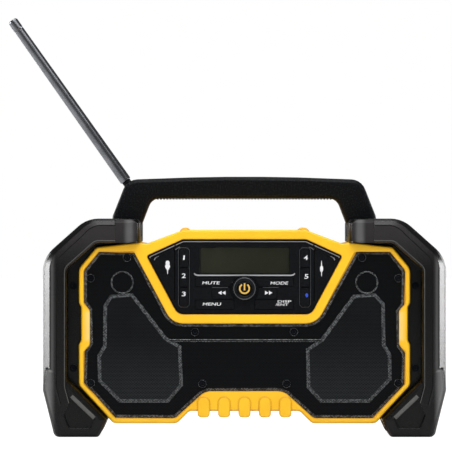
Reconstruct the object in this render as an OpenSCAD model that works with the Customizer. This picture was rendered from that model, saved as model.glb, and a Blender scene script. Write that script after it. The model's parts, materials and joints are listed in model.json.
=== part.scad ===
// Jobsite radio: a moulded body between four bumper rails, with a carrying handle and a swinging aerial.
// X runs to the right, Y to the back and Z up. The origin is the centre of the footprint, on the ground.

/* [Bumper rails] */
// Width of the radio over the bumper rails
rails_w = 460; // [452:2:480]
// Depth of the radio over the bumper rails
rails_d = 190; // [186:2:206]
// Width of a rail, seen from the front
rail_w = 28; // [26:0.5:30]
// Depth of a rail's bar
rail_d = 36; // [32:1:38]
// Height of the rails' top arms above the ground
rail_top = 249; // [249:1:258]
// Width of the big chamfer on a rail's outer edge, beside the body
rail_bevel = 16; // [12:1:18]
// Width of the same chamfer on the top arm
arm_bevel = 7.6; // [6:0.2:9]
// Height of a foot's hollow above the ground
foot_pocket_z = 10; // [8:1:12]
// Depth of the hollow in a foot
foot_pocket_d = 7; // [4:1:9]

/* [Body] */
// Gap between the body's side and a rail
rail_gap = 13; // [11:0.5:15]
// Distance from the body's front face to its back face
body_d = 164; // [158:2:168]
// Distance from the centre plane to the body's front face
body_front = 84; // [82:1:86]
// Height of the body's underside above the ground
body_base = 15.4; // [12:0.2:18]
// Height of the middle of the body
body_top = 236; // [234:1:240]
// Wall of the two housings
wall = 3.2; // [2.6:0.2:3.6]
// Yellow rim left round the grille
rim = 5.6; // [4.8:0.2:6.4]
// Width of the frame between the panel and the grille
frame_w = 10.2; // [9:0.2:12]
// Number of ribs under the front
rib_count = 5; // [3:2:7]
// Distance between two ribs
rib_pitch = 23.3; // [20:0.5:25]
// Width of a rib
rib_w = 13.6; // [10:0.2:15]
// Thickness of the seal between the housings
seal_t = 1.2; // [0.8:0.2:2]

/* [Grille and drivers] */
// Thickness of the grille's sheet
sheet_t = 1.2; // [0.8:0.1:1.5]
// Distance of the grille behind the front face
grille_sink = 3.4; // [3:0.2:4]
// Height of the pressed fields over the woofers
field_rise = 1.8; // [1.2:0.2:2.2]
// Radius of a hole in the grille
hole_r = 1.5; // [1:0.1:1.6]
// Distance between two holes of the grille
hole_pitch = 6.4; // [6:0.2:8]
// Thickness of the baffle
baffle_t = 4; // [3:0.5:5]
// Radius of a woofer's mounting flange
woofer_r = 45; // [42:1:46]
// Depth of a woofer behind the baffle
woofer_d = 46; // [40:1:50]
// Radius of a tweeter's face plate
tweeter_r = 17; // [15:0.5:18]
// Depth of a tweeter behind the baffle
tweeter_d = 16; // [12:1:20]

/* [Control panel] */
// Thickness of the control panel
panel_t = 3; // [2.6:0.1:3.4]
// Distance of the panel behind the front face
panel_sink = 3.5; // [3:0.1:4]
// Width of the display window
window_w = 102; // [96:1:104]
// Height of the display window
window_h = 31; // [28:1:32]
// Outer radius of the volume knob
knob_r = 13.7; // [12.5:0.1:14.5]
// Height of the volume knob above the panel
knob_h = 7; // [5:0.5:9]
// Radius of the power button
power_r = 8.2; // [7:0.1:8.6]
// Width of a preset key
preset_w = 10; // [9:0.2:11]
// Height of a preset key
preset_h = 20.9; // [17:0.1:21.2]
// Distance between two preset keys
preset_pitch = 22.4; // [22.4:0.1:22.8]
// Height of the keys above the panel
key_rise = 1.1; // [0.8:0.1:1.6]
// Travel of every key
key_travel = 1; // [0.6:0.1:1.2]
// Gap round a key
key_gap = 0.35; // [0.3:0.05:0.5]
// Thickness of a port door
door_t = 2; // [1.6:0.1:2.2]
// Radius of the audio socket's bore
audio_r = 1.8; // [1.78:0.01:1.85]

/* [Handle and aerial] */
// Height of the handle's top above the ground
handle_top = 297; // [294:1:306]
// Depth of the handle
handle_d = 36; // [32:1:40]
// Height of the handle's bar without its grip
handle_bar = 24.6; // [22:0.2:26]
// Number of teeth under the grip
tooth_count = 56; // [40:2:60]
// Height of the grip's teeth below the handle's bar
grip_drop = 1.4; // [1:0.2:3]
// Length of the aerial from its pivot to its tip
aerial_len = 242; // [210:1:250]
// Radius of the aerial at its foot
aerial_foot_r = 6.6; // [6:0.1:6.8]
// Radius of the aerial at its tip
aerial_tip_r = 5.7; // [5:0.1:5.9]
// Lean of the aerial from upright
aerial_lean = 35.3; // [20:0.5:45]

/* [Battery bay] */
// Width of the battery bay
bay_w = 144; // [130:2:150]
// Height of the battery bay
bay_h = 112; // [100:2:116]
// Depth of the battery bay
bay_d = 50; // [44:1:52]
// Height of the bay's floor above the ground
bay_z = 64; // [62:1:68]
// Thickness of the battery door
lid_t = 4.6; // [4:0.2:5]
// Radius of the hinge pin of the battery door
lid_pin_r = 1.6; // [1.4:0.1:1.8]

/* [Fasteners] */
// Radius of a screw's shank
screw_r = 1.9; // [1.6:0.1:2.1]
// Radius of a screw's head
head_r = 4.2; // [3.6:0.1:4.4]
// Height of a screw's head
head_h = 2.4; // [1.6:0.1:2.8]
// Radius of a handle bolt
bolt_r = 2.4; // [2:0.1:2.6]
// Gap left between pieces that are fitted together
fit = 0.3; // [0.2:0.05:0.4]

/* [Hidden] */

$fn = 48;
arc_steps = 5;
yellow = "gold";
black = [0.09, 0.09, 0.1];
rubber = [0.14, 0.14, 0.15];
steel = [0.62, 0.63, 0.65];
overcut = 1;

// ---- outlines: lists of corners [x, z, radius], counter-clockwise seen from the front ----

function unit(v) = v / norm(v);
function right_of(v) = [v[1], -v[0]];
function spot(c) = [c[0], c[1]];
function before(list, i) = list[(i + len(list) - 1) % len(list)];
function after(list, i) = list[(i + 1) % len(list)];

// Points of the arc that rounds the corner b between a and c.
function corner_arc(a, b, c, r) =
    let (u = unit(a - b), w = unit(c - b), half = acos(max(-1, min(1, u * w))) / 2,
        centre = b + unit(u + w) * r / sin(half),
        from = b + u * r / tan(half) - centre, to = b + w * r / tan(half) - centre,
        start = atan2(from[1], from[0]), raw = atan2(to[1], to[0]) - start,
        sweep = raw > 180 ? raw - 360 : raw < -180 ? raw + 360 : raw)
    [for (k = [0:arc_steps]) let (turn = start + sweep * k / arc_steps) centre + r * [cos(turn), sin(turn)]];

function rounded(corners) = [for (i = [0:len(corners) - 1])
    each corner_arc(spot(before(corners, i)), spot(corners[i]), spot(after(corners, i)), corners[i][2])];

// The same outline with every side moved inwards by d.
function inset(corners, d) = [for (i = [0:len(corners) - 1])
    let (p = spot(corners[i]), e = unit(p - spot(before(corners, i))), f = unit(spot(after(corners, i)) - p),
        m = -(right_of(e) + right_of(f)) / (1 + e * f), turn = e[0] * f[1] - e[1] * f[0],
        r = turn > 0 ? corners[i][2] - d : corners[i][2] + d)
    [p[0] + m[0] * d, p[1] + m[1] * d, max(r, 0.4)]];

// A half outline on the right side, completed by its mirror image.
function with_mirror(half) = concat(half,
    [for (i = [len(half) - 1:-1:0]) [-half[i][0], half[i][1], half[i][2]]]);

// Where the line through a and b meets the line through c and d.
function meeting(a, b, c, d) =
    let (r = b - a, s = d - c, t = ((c - a)[0] * s[1] - (c - a)[1] * s[0]) / (r[0] * s[1] - r[1] * s[0]))
    a + r * t;

// ---- solids from outlines ----

// Straight solid between two depths.
module slab(y0, y1) {
    translate([0, y1, 0]) rotate([90, 0, 0]) linear_extrude(y1 - y0) children();
}

module outline_slab(corners, y0, y1) {
    slab(y0, y1) polygon(rounded(corners));
}

// Round pin or hole along Y.
module rod_y(x, z, r, y0, y1) {
    translate([x, y1, z]) rotate([90, 0, 0]) cylinder(r = r, h = y1 - y0);
}

function middle(ring) = [for (p = ring) 1] * ring / len(ring);
function reversed(list) = [for (i = [len(list) - 1:-1:0]) list[i]];
function shifted(face, d) = [for (i = face) i + d];

// Skin over rings of points, first ring at the front. The ends are closed by the faces in cap,
// or by a fan about their middle.
module skinned(rings, cap = []) {
    m = len(rings[0]);
    last = len(rings) - 1;
    hub = m * (last + 1);
    fan = [for (k = [0:m - 1]) [k, (k + 1) % m]];
    front = len(cap) > 0 ? [for (f = cap) reversed(f)] : [for (e = fan) [hub, e[1], e[0]]];
    back = len(cap) > 0 ? [for (f = cap) shifted(f, last * m)]
        : [for (e = fan) concat([hub + 1], shifted(e, last * m))];
    sides = [for (i = [0:last - 1]) for (e = fan)
        concat(shifted(e, i * m), reversed(shifted(e, (i + 1) * m)))];
    hubs = len(cap) > 0 ? [] : [middle(rings[0]), middle(rings[last])];
    polyhedron(points = concat([for (ring = rings) each ring], hubs), faces = concat(front, back, sides));
}

// Solid whose outline follows levels [[y, inset], ...] from front to back.
module bevelled(corners, levels, cap = []) {
    skinned([for (l = levels) [for (p = rounded(inset(corners, l[1]))) [p[0], l[0], p[1]]]], cap);
}

module on_both_sides() {
    children();
    mirror([1, 0, 0]) children();
}

// ---- places worked out from the sizes ----

body_half = rails_w / 2 - rail_w - rail_gap;
body_back = body_d - body_front;
split_y = 4;
front_end = split_y - seal_t / 2;
rear_start = split_y + seal_t / 2;
front_wall_back = -body_front + 10;
grille_y = -body_front + grille_sink;
grille_back = grille_y + sheet_t;
baffle_back = front_wall_back + baffle_t;
panel_y = -body_front + panel_sink;
panel_back = panel_y + panel_t;

rail_x = (rails_w - rail_w) / 2;
shoulder_run = 41.6;
seam_x = rail_x - shoulder_run - 27.1;
bridge_in = seam_x - 28.3;

// Control panel: the corner beside the knob's foot, the outer corner and the top corner.
panel_foot = [76.3, 139.6];
panel_tip = [112, 206.5];
panel_top_corner = [70.5, body_top - 10.6];
panel_outline = with_mirror([[panel_foot[0], panel_foot[1], 11], [panel_tip[0], panel_tip[1], 3],
    [panel_top_corner[0], panel_top_corner[1], 6]]);

shoulder_z = body_top - 19.5;
shoulder_peak = rail_top - rail_w + 1.2;

// Notch in a side at x, between the heights low and high, with ends that slope over run.
function notch(x, depth, low, high, run) = [[x, low - run, 4], [x - depth, low, 4], [x - depth, high, 4],
    [x, high + run, 4]];

body_half_outline = concat([[63, body_base + 14, 7], [77, body_base, 8], [body_half - 39.5, body_base, 8],
    [body_half, body_base + 43, 9]], notch(body_half, 2.6, 110, 148, 5),
    [[body_half, 192, 12], [body_half - 20, shoulder_z, 6], [bridge_in + 3, shoulder_peak, 4],
    [bridge_in - 7, shoulder_peak - 2, 4], [panel_top_corner[0] - 0.5, body_top, 5]]);
body_outline = with_mirror(body_half_outline);

// The grille runs round the panel's frame and stays inside the rim, which is wider at the notch and
// towards the shoulder's peak.
frame_outline = inset(panel_outline, -frame_w);
rim_outline = inset(body_outline, rim);
frame_foot = spot(frame_outline[0]);
frame_tip = spot(frame_outline[1]);
arch_top = body_base + 36.6;
rim_half = concat([rim_outline[2], rim_outline[3]], notch(body_half - rim, 7, 105, 144, 8),
    [rim_outline[8], rim_outline[9]]);
rim_top = spot(rim_outline[9]);
grille_inner = meeting(rim_top, rim_top - [1, 0], frame_foot, frame_tip);
arch_foot = [79, rim_half[0][1]];
grille_outline = with_mirror(concat([[45, arch_top, 18], [arch_foot[0], arch_foot[1], 8]], rim_half,
    [[grille_inner[0], grille_inner[1], 3], [frame_foot[0], frame_foot[1], 21]]));

// Pressed field over the woofer.
woofer_at = [body_half - 71, 92];
tweeter_at = [body_half - 49.5, 176];
field_in = woofer_at[0] - 48;
field_out = woofer_at[0] + 50;
field_outline = [[field_in + 17.2, 38, 3], [field_out - 26, 38, 3], [field_out, 64, 3], [field_out, 93.5, 3],
    [field_out - 7, 104.5, 3], [field_out - 7, 151, 5], [field_out - 16, 164, 5], [field_in + 55, 164, 5],
    [field_in + 18, 113, 5], [field_in, 102.6, 4], [field_in, 57, 4]];
woofer_hole_r = woofer_r - 5;
tweeter_hole_r = tweeter_r - 4;
grille_screw_at = [[panel_tip[0] + 22, 204.5], [body_half - 13.5, 181], [body_half - 13.6, 61.2],
    [field_in - 13.6, 119.7], [field_in - 22, 60.4]];
boss_at = [[body_half - 24, 196.5], [body_half - 24, 62], [58, body_base + 23.5], [45, body_top - 8.6]];
boss_r = 5;
boss_start = -64;

knob_z = 169.2;
window_z = 201.2;
preset_x = 69;
preset_middle_z = 181.8;
preset_z = [for (k = [1:-1:-1]) preset_middle_z + k * preset_pitch];

port_hinge_x = 81;
port_low_z = 155;
port_high_z = 214;
barrel_r = 1.5;
port_pin_r = 0.8;
port_axis_y = panel_y + barrel_r;

// Rails: the centre line runs from the seam at the bridge to the foot.
arm_z = rail_top - rail_w / 2;
knee_z = 56;
shoulder_drop = 37;
rail_front = -rails_d / 2;
web_y = rail_front + 28;
web_t = 7;
rail_screw_z = [78, 172];
ear_r = 5;
ear_x = body_half + 6.5;

// Handle: the foot stands on the bridge's floor.
bridge_floor_z = rail_top - rail_w + 8;
leg_out = seam_x + 3.7;
leg_in = bridge_in + fit;
bar_low = handle_top - handle_bar;
aerial_x = -(leg_out - 20.6);
aerial_z = handle_top - 14.4;
aerial_y = handle_d / 2 + fit + aerial_foot_r;
hub_r = 9;
hub_front = handle_d / 2 + fit;
hub_back = aerial_y + aerial_foot_r;
aerial_pin_r = 2.4;
cradle_x = 72;

// Battery bay and its door at the back.
lid_w = bay_w + 26;
lid_h = bay_h + 22;
lid_z = bay_z + bay_h / 2;
lid_front = body_back - lid_t;
lid_axis = [-lid_w / 2 - 4, body_back + 0.5];
knuckle_r = 3.8;
bay_floor_y = body_back - lid_t - fit - bay_d;
inlet_at = [122, 92];

// ---- yellow housings ----

module front_housing() color(yellow) {
    difference() {
        union() {
            bevelled(body_outline, [[-body_front, 2.2], [-body_front + 0.8, 0.9], [-body_front + 3, 0],
                [front_end, 0]]);
            on_both_sides() rail_ears(web_y + web_t + fit, web_y + web_t + 16);
            top_ridges(-body_front + 2, front_end);
            bottom_ribs();
        }
        difference() {
            outline_slab(inset(body_outline, wall), front_wall_back, front_end + overcut);
            on_both_sides() {
                for (at = boss_at) boss_with_rib(at, boss_start, front_end + overcut);
                bolt_boss(-1);
            }
        }
        outline_slab(grille_outline, -body_front - overcut, grille_back);
        outline_slab(inset(grille_outline, 4.4), -body_front - overcut, front_wall_back + overcut);
        outline_slab(panel_outline, -body_front - overcut, panel_back);
        outline_slab(inset(panel_outline, 4), -body_front - overcut, front_wall_back + overcut);
        on_both_sides() {
            for (at = boss_at) rod_y(at[0], at[1], screw_r + 0.1, front_end - 22, front_end + overcut);
            for (at = grille_screw_at)
                rod_y(at[0], at[1], screw_r + 0.1, -body_front, front_wall_back + overcut);
            handle_bolt_hole(-1);
        }
        rail_screw_holes(web_y + web_t, 12);
    }
}

module rear_housing() color(yellow) {
    difference() {
        union() {
            bevelled(body_outline, [[rear_start, 0], [body_back - 7, 0], [body_back - 2, 3], [body_back, 6]]);
            mirror([0, 1, 0]) on_both_sides() rail_ears(web_y + web_t + fit, web_y + web_t + 16);
            top_ridges(rear_start, body_back - 10);
        }
        difference() {
            outline_slab(inset(body_outline, wall + 1.4), rear_start - overcut, body_back - 7);
            on_both_sides() {
                for (at = boss_at) rod_y(at[0], at[1], boss_r, rear_start - overcut, body_back);
                bolt_boss(1);
            }
            translate([-bay_w / 2 - wall, bay_floor_y - wall, bay_z - wall])
                cube([bay_w + 2 * wall, body_back, bay_h + 2 * wall]);
        }
        translate([-bay_w / 2, bay_floor_y, bay_z]) cube([bay_w, body_back, bay_h]);
        translate([-lid_w / 2 - fit, lid_front - fit, lid_z - lid_h / 2 - fit])
            cube([lid_w + 2 * fit, body_back, lid_h + 2 * fit]);
        translate([-lid_w / 2 - 10, lid_axis[1] - knuckle_r - fit, lid_z - lid_h / 2 - fit])
            cube([12, body_back, lid_h + 2 * fit]);
        catch_slot();
        on_both_sides() {
            for (at = boss_at) {
                rod_y(at[0], at[1], screw_r + 0.1, rear_start - overcut, body_back + overcut);
                rod_y(at[0], at[1], head_r + fit, body_back - head_h - 3, body_back + overcut);
            }
            handle_bolt_hole(1);
        }
        rod_y(inlet_at[0], inlet_at[1], inlet_r + fit, body_back - 9, body_back + overcut);
        mirror([0, 1, 0]) rail_screw_holes(web_y + web_t, 12);
        dock_screw_holes();
    }
    intersection() {
        lid_knuckles([0, 2, 4]);
        translate([-lid_w, 0, 0]) cube([lid_w, 2 * body_back, body_top]);
    }
}

// Rounded ridges along the two top edges of the raised middle.
module top_ridges(y0, y1) {
    on_both_sides() rod_y(68, body_top - 3.4, 6, y0, y1);
}

// Upright ribs that wrap under the front of the body.
module bottom_ribs() {
    low = body_base + 7;
    for (k = [0:rib_count - 1]) translate([(k - (rib_count - 1) / 2) * rib_pitch, 0, 0]) {
        x = rib_w / 2;
        outline_slab([[-x, low, 4], [x, low, 4], [x, low + 23, 6], [-x, low + 23, 6]],
            -body_front - 1.6, -body_front + 30);
    }
}

// A screw boss with the rib that ties it to the nearest wall.
module boss_with_rib(at, y0, y1) {
    rod_y(at[0], at[1], boss_r, y0, y1);
    reach = [[wall + 18, 30], [wall + 26, 0], [wall + 14, -90], [wall + 12, 90]];
    k = search([at], boss_at)[0];
    translate([at[0], y0, at[1]]) rotate([0, -reach[k][1], 0]) translate([0, 0, -1.2])
        cube([reach[k][0], y1 - y0, 2.4]);
}

// Ears on the sides of a housing, which the rails' webs are screwed to.
module rail_ears(y0, y1) {
    for (z = rail_screw_z) {
        rod_y(ear_x, z, ear_r, y0, y1);
        translate([body_half - wall / 2, y0, z - ear_r])
            cube([ear_x - body_half + wall / 2, y1 - y0, 2 * ear_r]);
    }
}

module rail_screw_holes(y0, h) {
    on_both_sides() for (z = rail_screw_z) rod_y(ear_x, z, screw_r + 0.1, y0 - overcut, y0 + h);
}

module handle_bolt_hole(side) {
    translate([handle_bolt_x, side * handle_bolt_y, shoulder_z - 30]) cylinder(r = bolt_r + fit, h = 60);
}

handle_bolt_x = (bridge_in + seam_x) / 2 - 0.15;
handle_bolt_y = 10.4;
bolt_seat_z = shoulder_z - 9;

// Thickened seat of a handle bolt under the shoulder.
module bolt_boss(side) {
    translate([handle_bolt_x, side * handle_bolt_y, bolt_seat_z]) cylinder(r = bolt_r + 4, h = 30);
}

module housing_seal() color(black) {
    difference() {
        outline_slab(inset(body_outline, 0.8), front_end, rear_start);
        outline_slab(inset(body_outline, wall - 0.4), front_end - overcut, rear_start + overcut);
    }
}

module housing_screws() color(steel) {
    on_both_sides() for (at = boss_at) mirror([0, 1, 0])
        screw(at[0], at[1], -body_back + 3 + head_h, body_back - front_end + 8);
}

// Pan head screw along Y, its head seated at y0 and its shank running backwards.
module screw(x, z, y0, length) {
    difference() {
        union() {
            rod_y(x, z, head_r, y0 - head_h, y0);
            rod_y(x, z, screw_r, y0 - 0.5, y0 + length);
        }
        translate([x, y0 - head_h + 1.1, z]) rotate([90, 0, 0]) cylinder(r = head_r * 0.48, h = 2, $fn = 6);
    }
}

// ---- grille, baffle and drivers ----

module speaker_grille() color(black) {
    difference() {
        union() {
            outline_slab(inset(grille_outline, fit), grille_y, grille_back);
            on_both_sides() outline_slab(field_outline, grille_y - field_rise, grille_back);
        }
        on_both_sides() {
            outline_slab(inset(field_outline, sheet_t), grille_back - field_rise, grille_back + overcut);
            for (at = grille_screw_at)
                rod_y(at[0], at[1], screw_r + fit, grille_y - overcut, grille_back + overcut);
            perforation(woofer_at, woofer_hole_r - 2.5);
            perforation(tweeter_at, tweeter_hole_r - 2);
        }
    }
}

// Holes on a triangular grid inside a circle.
module perforation(at, r) {
    reach = ceil(r / hole_pitch) + 1;
    for (i = [-reach:reach]) for (j = [-reach:reach]) {
        x = (i + j / 2) * hole_pitch;
        z = j * hole_pitch * sqrt(3) / 2;
        if (norm([x, z]) < r)
            rod_y(at[0] + x, at[1] + z, hole_r, grille_y - field_rise - overcut, grille_back + overcut);
    }
}

board_post_x = 40;
board_post_z = [75, 108];
board_post_h = 8;
module speaker_baffle() color(black) {
    difference() {
        union() {
            outline_slab(inset(grille_outline, 1), front_wall_back, baffle_back);
            for (x = [-1, 1], z = board_post_z)
                rod_y(x * board_post_x, z, 3, baffle_back - 0.5, baffle_back + board_post_h);
        }
        on_both_sides() {
            for (hole = [concat(woofer_at, woofer_hole_r), concat(tweeter_at, tweeter_hole_r),
                each [for (at = grille_screw_at) concat(at, screw_r + 0.1)]])
                rod_y(hole[0], hole[1], hole[2], front_wall_back - overcut, baffle_back + overcut);
        }
    }
}

module grille_screws() color(black) {
    on_both_sides() for (at = grille_screw_at) screw(at[0], at[1], grille_y, baffle_back - grille_y);
}

// Solid of revolution about a driver's axis: the profile is [radius, distance behind the baffle].
module turned(at, profile) {
    translate([at[0], baffle_back, at[1]]) rotate([-90, 0, 0]) rotate_extrude() polygon(profile);
}

basket_back = woofer_d - 16;
magnet_r = woofer_r - 17;
coil_r = woofer_r - 34;
coil_z = woofer_d - 22;
module woofer_basket() color(rubber) {
    difference() {
        turned(woofer_at, [[woofer_hole_r - 1, 0], [woofer_r, 0], [woofer_r, 3], [woofer_r - 4, 3],
            [magnet_r - 4, basket_back], [coil_r + 1, basket_back], [coil_r + 1, basket_back - 2],
            [magnet_r - 6, basket_back - 2], [woofer_hole_r - 1, 4]]);
        for (a = [0:60:300]) translate([woofer_at[0], baffle_back + basket_back / 2 + 1.5, woofer_at[1]])
            rotate([0, a, 0]) translate([woofer_r - 15, 0, 0])
                cube([14, basket_back - 13, 12], center = true);
    }
}

module woofer_cones() color(rubber) on_both_sides() {
    r = woofer_hole_r;
    turned(woofer_at, [[r - fit, -0.9], [r - 1.4, -0.9], [r - 3.6, -2.8], [r - 6, 0.2],
        [coil_r + 3, 12], [coil_r, 9], [coil_r - 5, 7.4], [0, 7], [0, 8], [coil_r - 5, 8.6],
        [coil_r - 1, 11], [coil_r - 1, coil_z], [coil_r, coil_z], [coil_r, 14], [coil_r + 3, 13.2],
        [r - 6.2, 1.2], [r - 3.6, -1.6], [r - 2, 0], [r - fit, 0]]);
}

module woofer_magnets() color(steel) on_both_sides()
    turned(woofer_at, [[0, basket_back + 0.1], [magnet_r, basket_back + 0.1], [magnet_r, woofer_d - 3],
        [magnet_r - 3, woofer_d - 3], [magnet_r - 3, woofer_d], [0, woofer_d]]);

module tweeter() color(steel) {
    turned(tweeter_at, [[0, -1], [4, -0.6], [8, 0.6], [9.5, 1.2], [tweeter_hole_r - 1, 0], [tweeter_r, 0],
        [tweeter_r, 3], [12, 3], [12, tweeter_d], [0, tweeter_d]]);
}

module main_board() color("darkgreen") {
    half = board_post_x + 15;
    front = baffle_back + board_post_h;
    low = board_post_z[0] - 13;
    translate([-half, front, low]) cube([2 * half, board_t, board_post_z[1] + 12 - low]);
    color(rubber) translate([-half + 25, front + board_t, low + 8]) cube([24, 5, 24]);
    color(steel) translate([10, front + board_t, low + 4]) cube([34, 12, 40]);
}

// ---- control panel ----

module panel_window(gap) {
    x = window_w / 2 + gap;
    h = window_h / 2 + gap;
    outline_slab([[-x, window_z - h, 3], [x, window_z - h, 3], [x, window_z + h, 2], [-x, window_z + h, 2]],
        panel_y - overcut, panel_back + overcut);
}

module control_panel() color(black) {
    difference() {
        union() {
            outline_slab(inset(panel_outline, fit), panel_y, panel_back);
            port_wells(2.2);
        }
        panel_window(fit);
        rod_y(0, knob_z, knob_r - 2, panel_y - overcut, panel_back + overcut);
        on_both_sides() {
            preset_shaft();
            left_key_shapes(key_gap, panel_y - overcut, panel_back + overcut);
        }
        port_recesses();
        translate([-port_at[0] - usb_h / 2 - 0.15, panel_y, port_at[1] - usb_w / 2 - 0.15])
            cube([usb_h + 0.3, 30, usb_w + 0.3]);
        rod_y(port_at[0], port_at[1], audio_body_r + 0.15, panel_y, panel_y + 30);
    }
}

port_at = [90, 195];
port_well_r = 7.6;
port_well_d = 12;

// Cups behind the panel that hold the sockets.
module port_wells(t) {
    on_both_sides() rod_y(port_at[0], port_at[1], port_well_r + t, panel_back - 0.5, panel_y + port_well_d);
}

// A port door is the panel's outer corner beyond the hinge.
module port_door_outline(gap) {
    intersection() {
        polygon(rounded(inset(panel_outline, gap)));
        translate([port_hinge_x, port_low_z]) square([60, 80]);
    }
}

module port_recesses() {
    on_both_sides() {
        translate([port_hinge_x + barrel_r, panel_y - overcut, port_low_z - fit])
            cube([60, door_t + fit + overcut, 80]);
        translate([port_hinge_x - barrel_r - fit, panel_y - overcut, port_low_z - fit])
            cube([2 * barrel_r + 2 * fit, overcut + 2 * barrel_r + fit, port_high_z - port_low_z + 2 * fit]);
        translate([port_hinge_x, port_axis_y, port_low_z - 2.6])
            cylinder(r = port_pin_r + 0.06, h = port_high_z - port_low_z + 5.2);
        rod_y(port_at[0], port_at[1], port_well_r, panel_y, panel_y + port_well_d - 4);
    }
}

module port_door(side) color(black) {
    mirror([side < 0 ? 1 : 0, 0, 0]) {
        difference() {
            slab(panel_y, panel_y + door_t) port_door_outline(fit + 0.1);
            translate([port_hinge_x - overcut, panel_y - overcut, port_high_z])
                cube([overcut + barrel_r + 2 * fit, 6, 20]);
        }
        translate([port_hinge_x, port_axis_y, port_low_z])
            cylinder(r = barrel_r, h = port_high_z - port_low_z);
        translate([port_hinge_x, port_axis_y, port_low_z - 2.2])
            cylinder(r = port_pin_r, h = port_high_z - port_low_z + 4.4);
        translate([port_at[0] + 1, panel_y - 1.2, port_high_z - 4.6]) rotate([0, 24.5, 0]) cube([13, 2, 2.4]);
    }
}

module preset_shaft() {
    x = preset_w / 2 + key_gap;
    for (z = preset_z) {
        h = preset_h / 2 + key_gap;
        outline_slab([[preset_x - x, z - h, 2], [preset_x + x, z - h, 2], [preset_x + x, z + h, 2],
            [preset_x - x, z + h, 2]], panel_y - overcut, panel_back + overcut);
    }
}

key_front = panel_y - key_rise;
key_back = panel_back + 1;
key_lip = 1.2;

// Preset keys 1 to 3 stand in the left column, 4 to 6 in the right one.
module preset_key(k) color(rubber) {
    side = k < 4 ? -1 : 1;
    z = preset_z[(k - 1) % 3];
    x = preset_w / 2;
    h = preset_h / 2;
    translate([side * preset_x, 0, z]) {
        outline_slab([[-x, -h, 1.6], [x, -h, 1.6], [x, h, 1.6], [-x, h, 1.6]], key_front, key_back);
        slab(panel_back + 0.1, key_back) square([2 * (x + key_lip), 2 * h - 2], center = true);
    }
}

// Outlines of the keys left of the knob: mute above, seek in the middle, menu below.
key_in = 12;
key_rows = [[171.6, 180.8, 56], [157.4, 170, 37], [145.6, 155.8, 56]];
module key_shape(row, gap, y0, y1, reach = 0) {
    low = key_rows[row][0] - gap;
    high = key_rows[row][1] + gap;
    in = key_in - gap - reach;
    out = key_rows[row][2] + gap + reach;
    r = row == 1 ? 4 : 1.6;
    difference() {
        outline_slab([[in, low, 0.5], [out, low, r], [out, high, r], [in, high, 0.5]], y0, y1);
        rod_y(0, knob_z, knob_r + 2.4 - gap - reach, y0 - overcut, y1 + overcut);
    }
}

module left_key_shapes(gap, y0, y1) {
    for (row = [0:2]) key_shape(row, gap, y0, y1);
}

module key(row, side) color(rubber) {
    mirror([side < 0 ? 1 : 0, 0, 0]) {
        key_shape(row, 0, key_front + 0.4, key_back);
        key_shape(row, 0, panel_back + 0.1, key_back, key_lip);
    }
}

module volume_knob() color(black) {
    grip_y = panel_y - knob_h;
    difference() {
        union() {
            translate([0, grip_y, knob_z]) rotate([-90, 0, 0]) rotate_extrude() polygon([
                [power_r + fit, 1], [power_r + 1.6, 0], [knob_r - 1.6, 0], [knob_r - 0.4, 1.4],
                [knob_r, knob_h - 0.6],
                [knob_r - 2 - fit, knob_h - 0.6], [knob_r - 2 - fit, knob_h + panel_t + 0.8],
                [power_r + fit, knob_h + panel_t + 0.8]]);
        }
        for (a = [0:15:345]) translate([0, 0, knob_z]) rotate([0, a, 0])
            translate([knob_r + 0.5, grip_y - overcut, 0]) rotate([-90, 0, 0])
                cylinder(r = 1, h = knob_h - 0.6, $fn = 16);
    }
}

module power_button() color(black) {
    translate([0, panel_y - knob_h, knob_z]) rotate([-90, 0, 0]) rotate_extrude()
        polygon([[0, 0.4], [power_r - 1, 0.9], [power_r, 1.8], [power_r, knob_h + panel_t - 0.4],
            [0, knob_h + panel_t - 0.4]]);
}

module volume_encoder() color(steel) {
    translate([0, panel_back + 1.2, knob_z]) rotate([-90, 0, 0]) difference() {
        cylinder(r = knob_r + 1, h = 2.4);
        translate([0, 0, -overcut]) cylinder(r = power_r - 3, h = 2.4 + 2 * overcut);
    }
}

module display_window() color([0.12, 0.13, 0.1]) {
    x = window_w / 2;
    h = window_h / 2;
    outline_slab([[-x, window_z - h, 3], [x, window_z - h, 3], [x, window_z + h, 2], [-x, window_z + h, 2]],
        panel_y + 0.6, panel_back);
}

module display_module() color("darkolivegreen") {
    translate([-window_w / 2 - 1, panel_back + fit, window_z - window_h / 2 - 1])
        cube([window_w + 2, 3.2, window_h + 2]);
}

mat_y = key_back + key_travel + 0.15;
module key_mat() color([0.3, 0.3, 0.32]) {
    difference() {
        slab(mat_y, mat_y + 1.2) intersection() {
            polygon(rounded(inset(panel_outline, 4.6)));
            translate([2 - port_hinge_x, panel_foot[1]])
                square([2 * port_hinge_x - 4, window_z + window_h / 2 + 2 - panel_foot[1]]);
        }
        translate([-window_w / 2 - 2, mat_y - overcut, window_z - window_h / 2 - 2])
            cube([window_w + 4, 4, window_h + 4]);
        rod_y(0, knob_z, knob_r + 1.4, mat_y - overcut, mat_y + 4);
    }
}

board_t = 1.6;
board_half = preset_x + preset_w / 2 + 2;
board_low = panel_foot[1] + 4.4;
board_y = panel_back + 3.7;
module control_board() color("darkgreen") {
    difference() {
        translate([-board_half, board_y, board_low])
            cube([2 * board_half, board_t, panel_tip[1] + 9.5 - board_low]);
        on_both_sides() rod_y(port_at[0], port_at[1], port_well_r + 2.6, panel_back, panel_back + 10);
    }
}

usb_w = 13.1;
usb_h = 5.7;
usb_front = panel_y + 6.4;
module usb_socket() color(steel) {
    t = 0.4;
    translate([-port_at[0] - usb_h / 2, usb_front, port_at[1] - usb_w / 2]) {
        difference() {
            cube([usb_h, 14, usb_w]);
            translate([t, -overcut, t]) cube([usb_h - 2 * t, 13, usb_w - 2 * t]);
        }
        translate([t + 0.5, 1, 1]) cube([1.5, 12.5, usb_w - 2]);
    }
}

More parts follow.
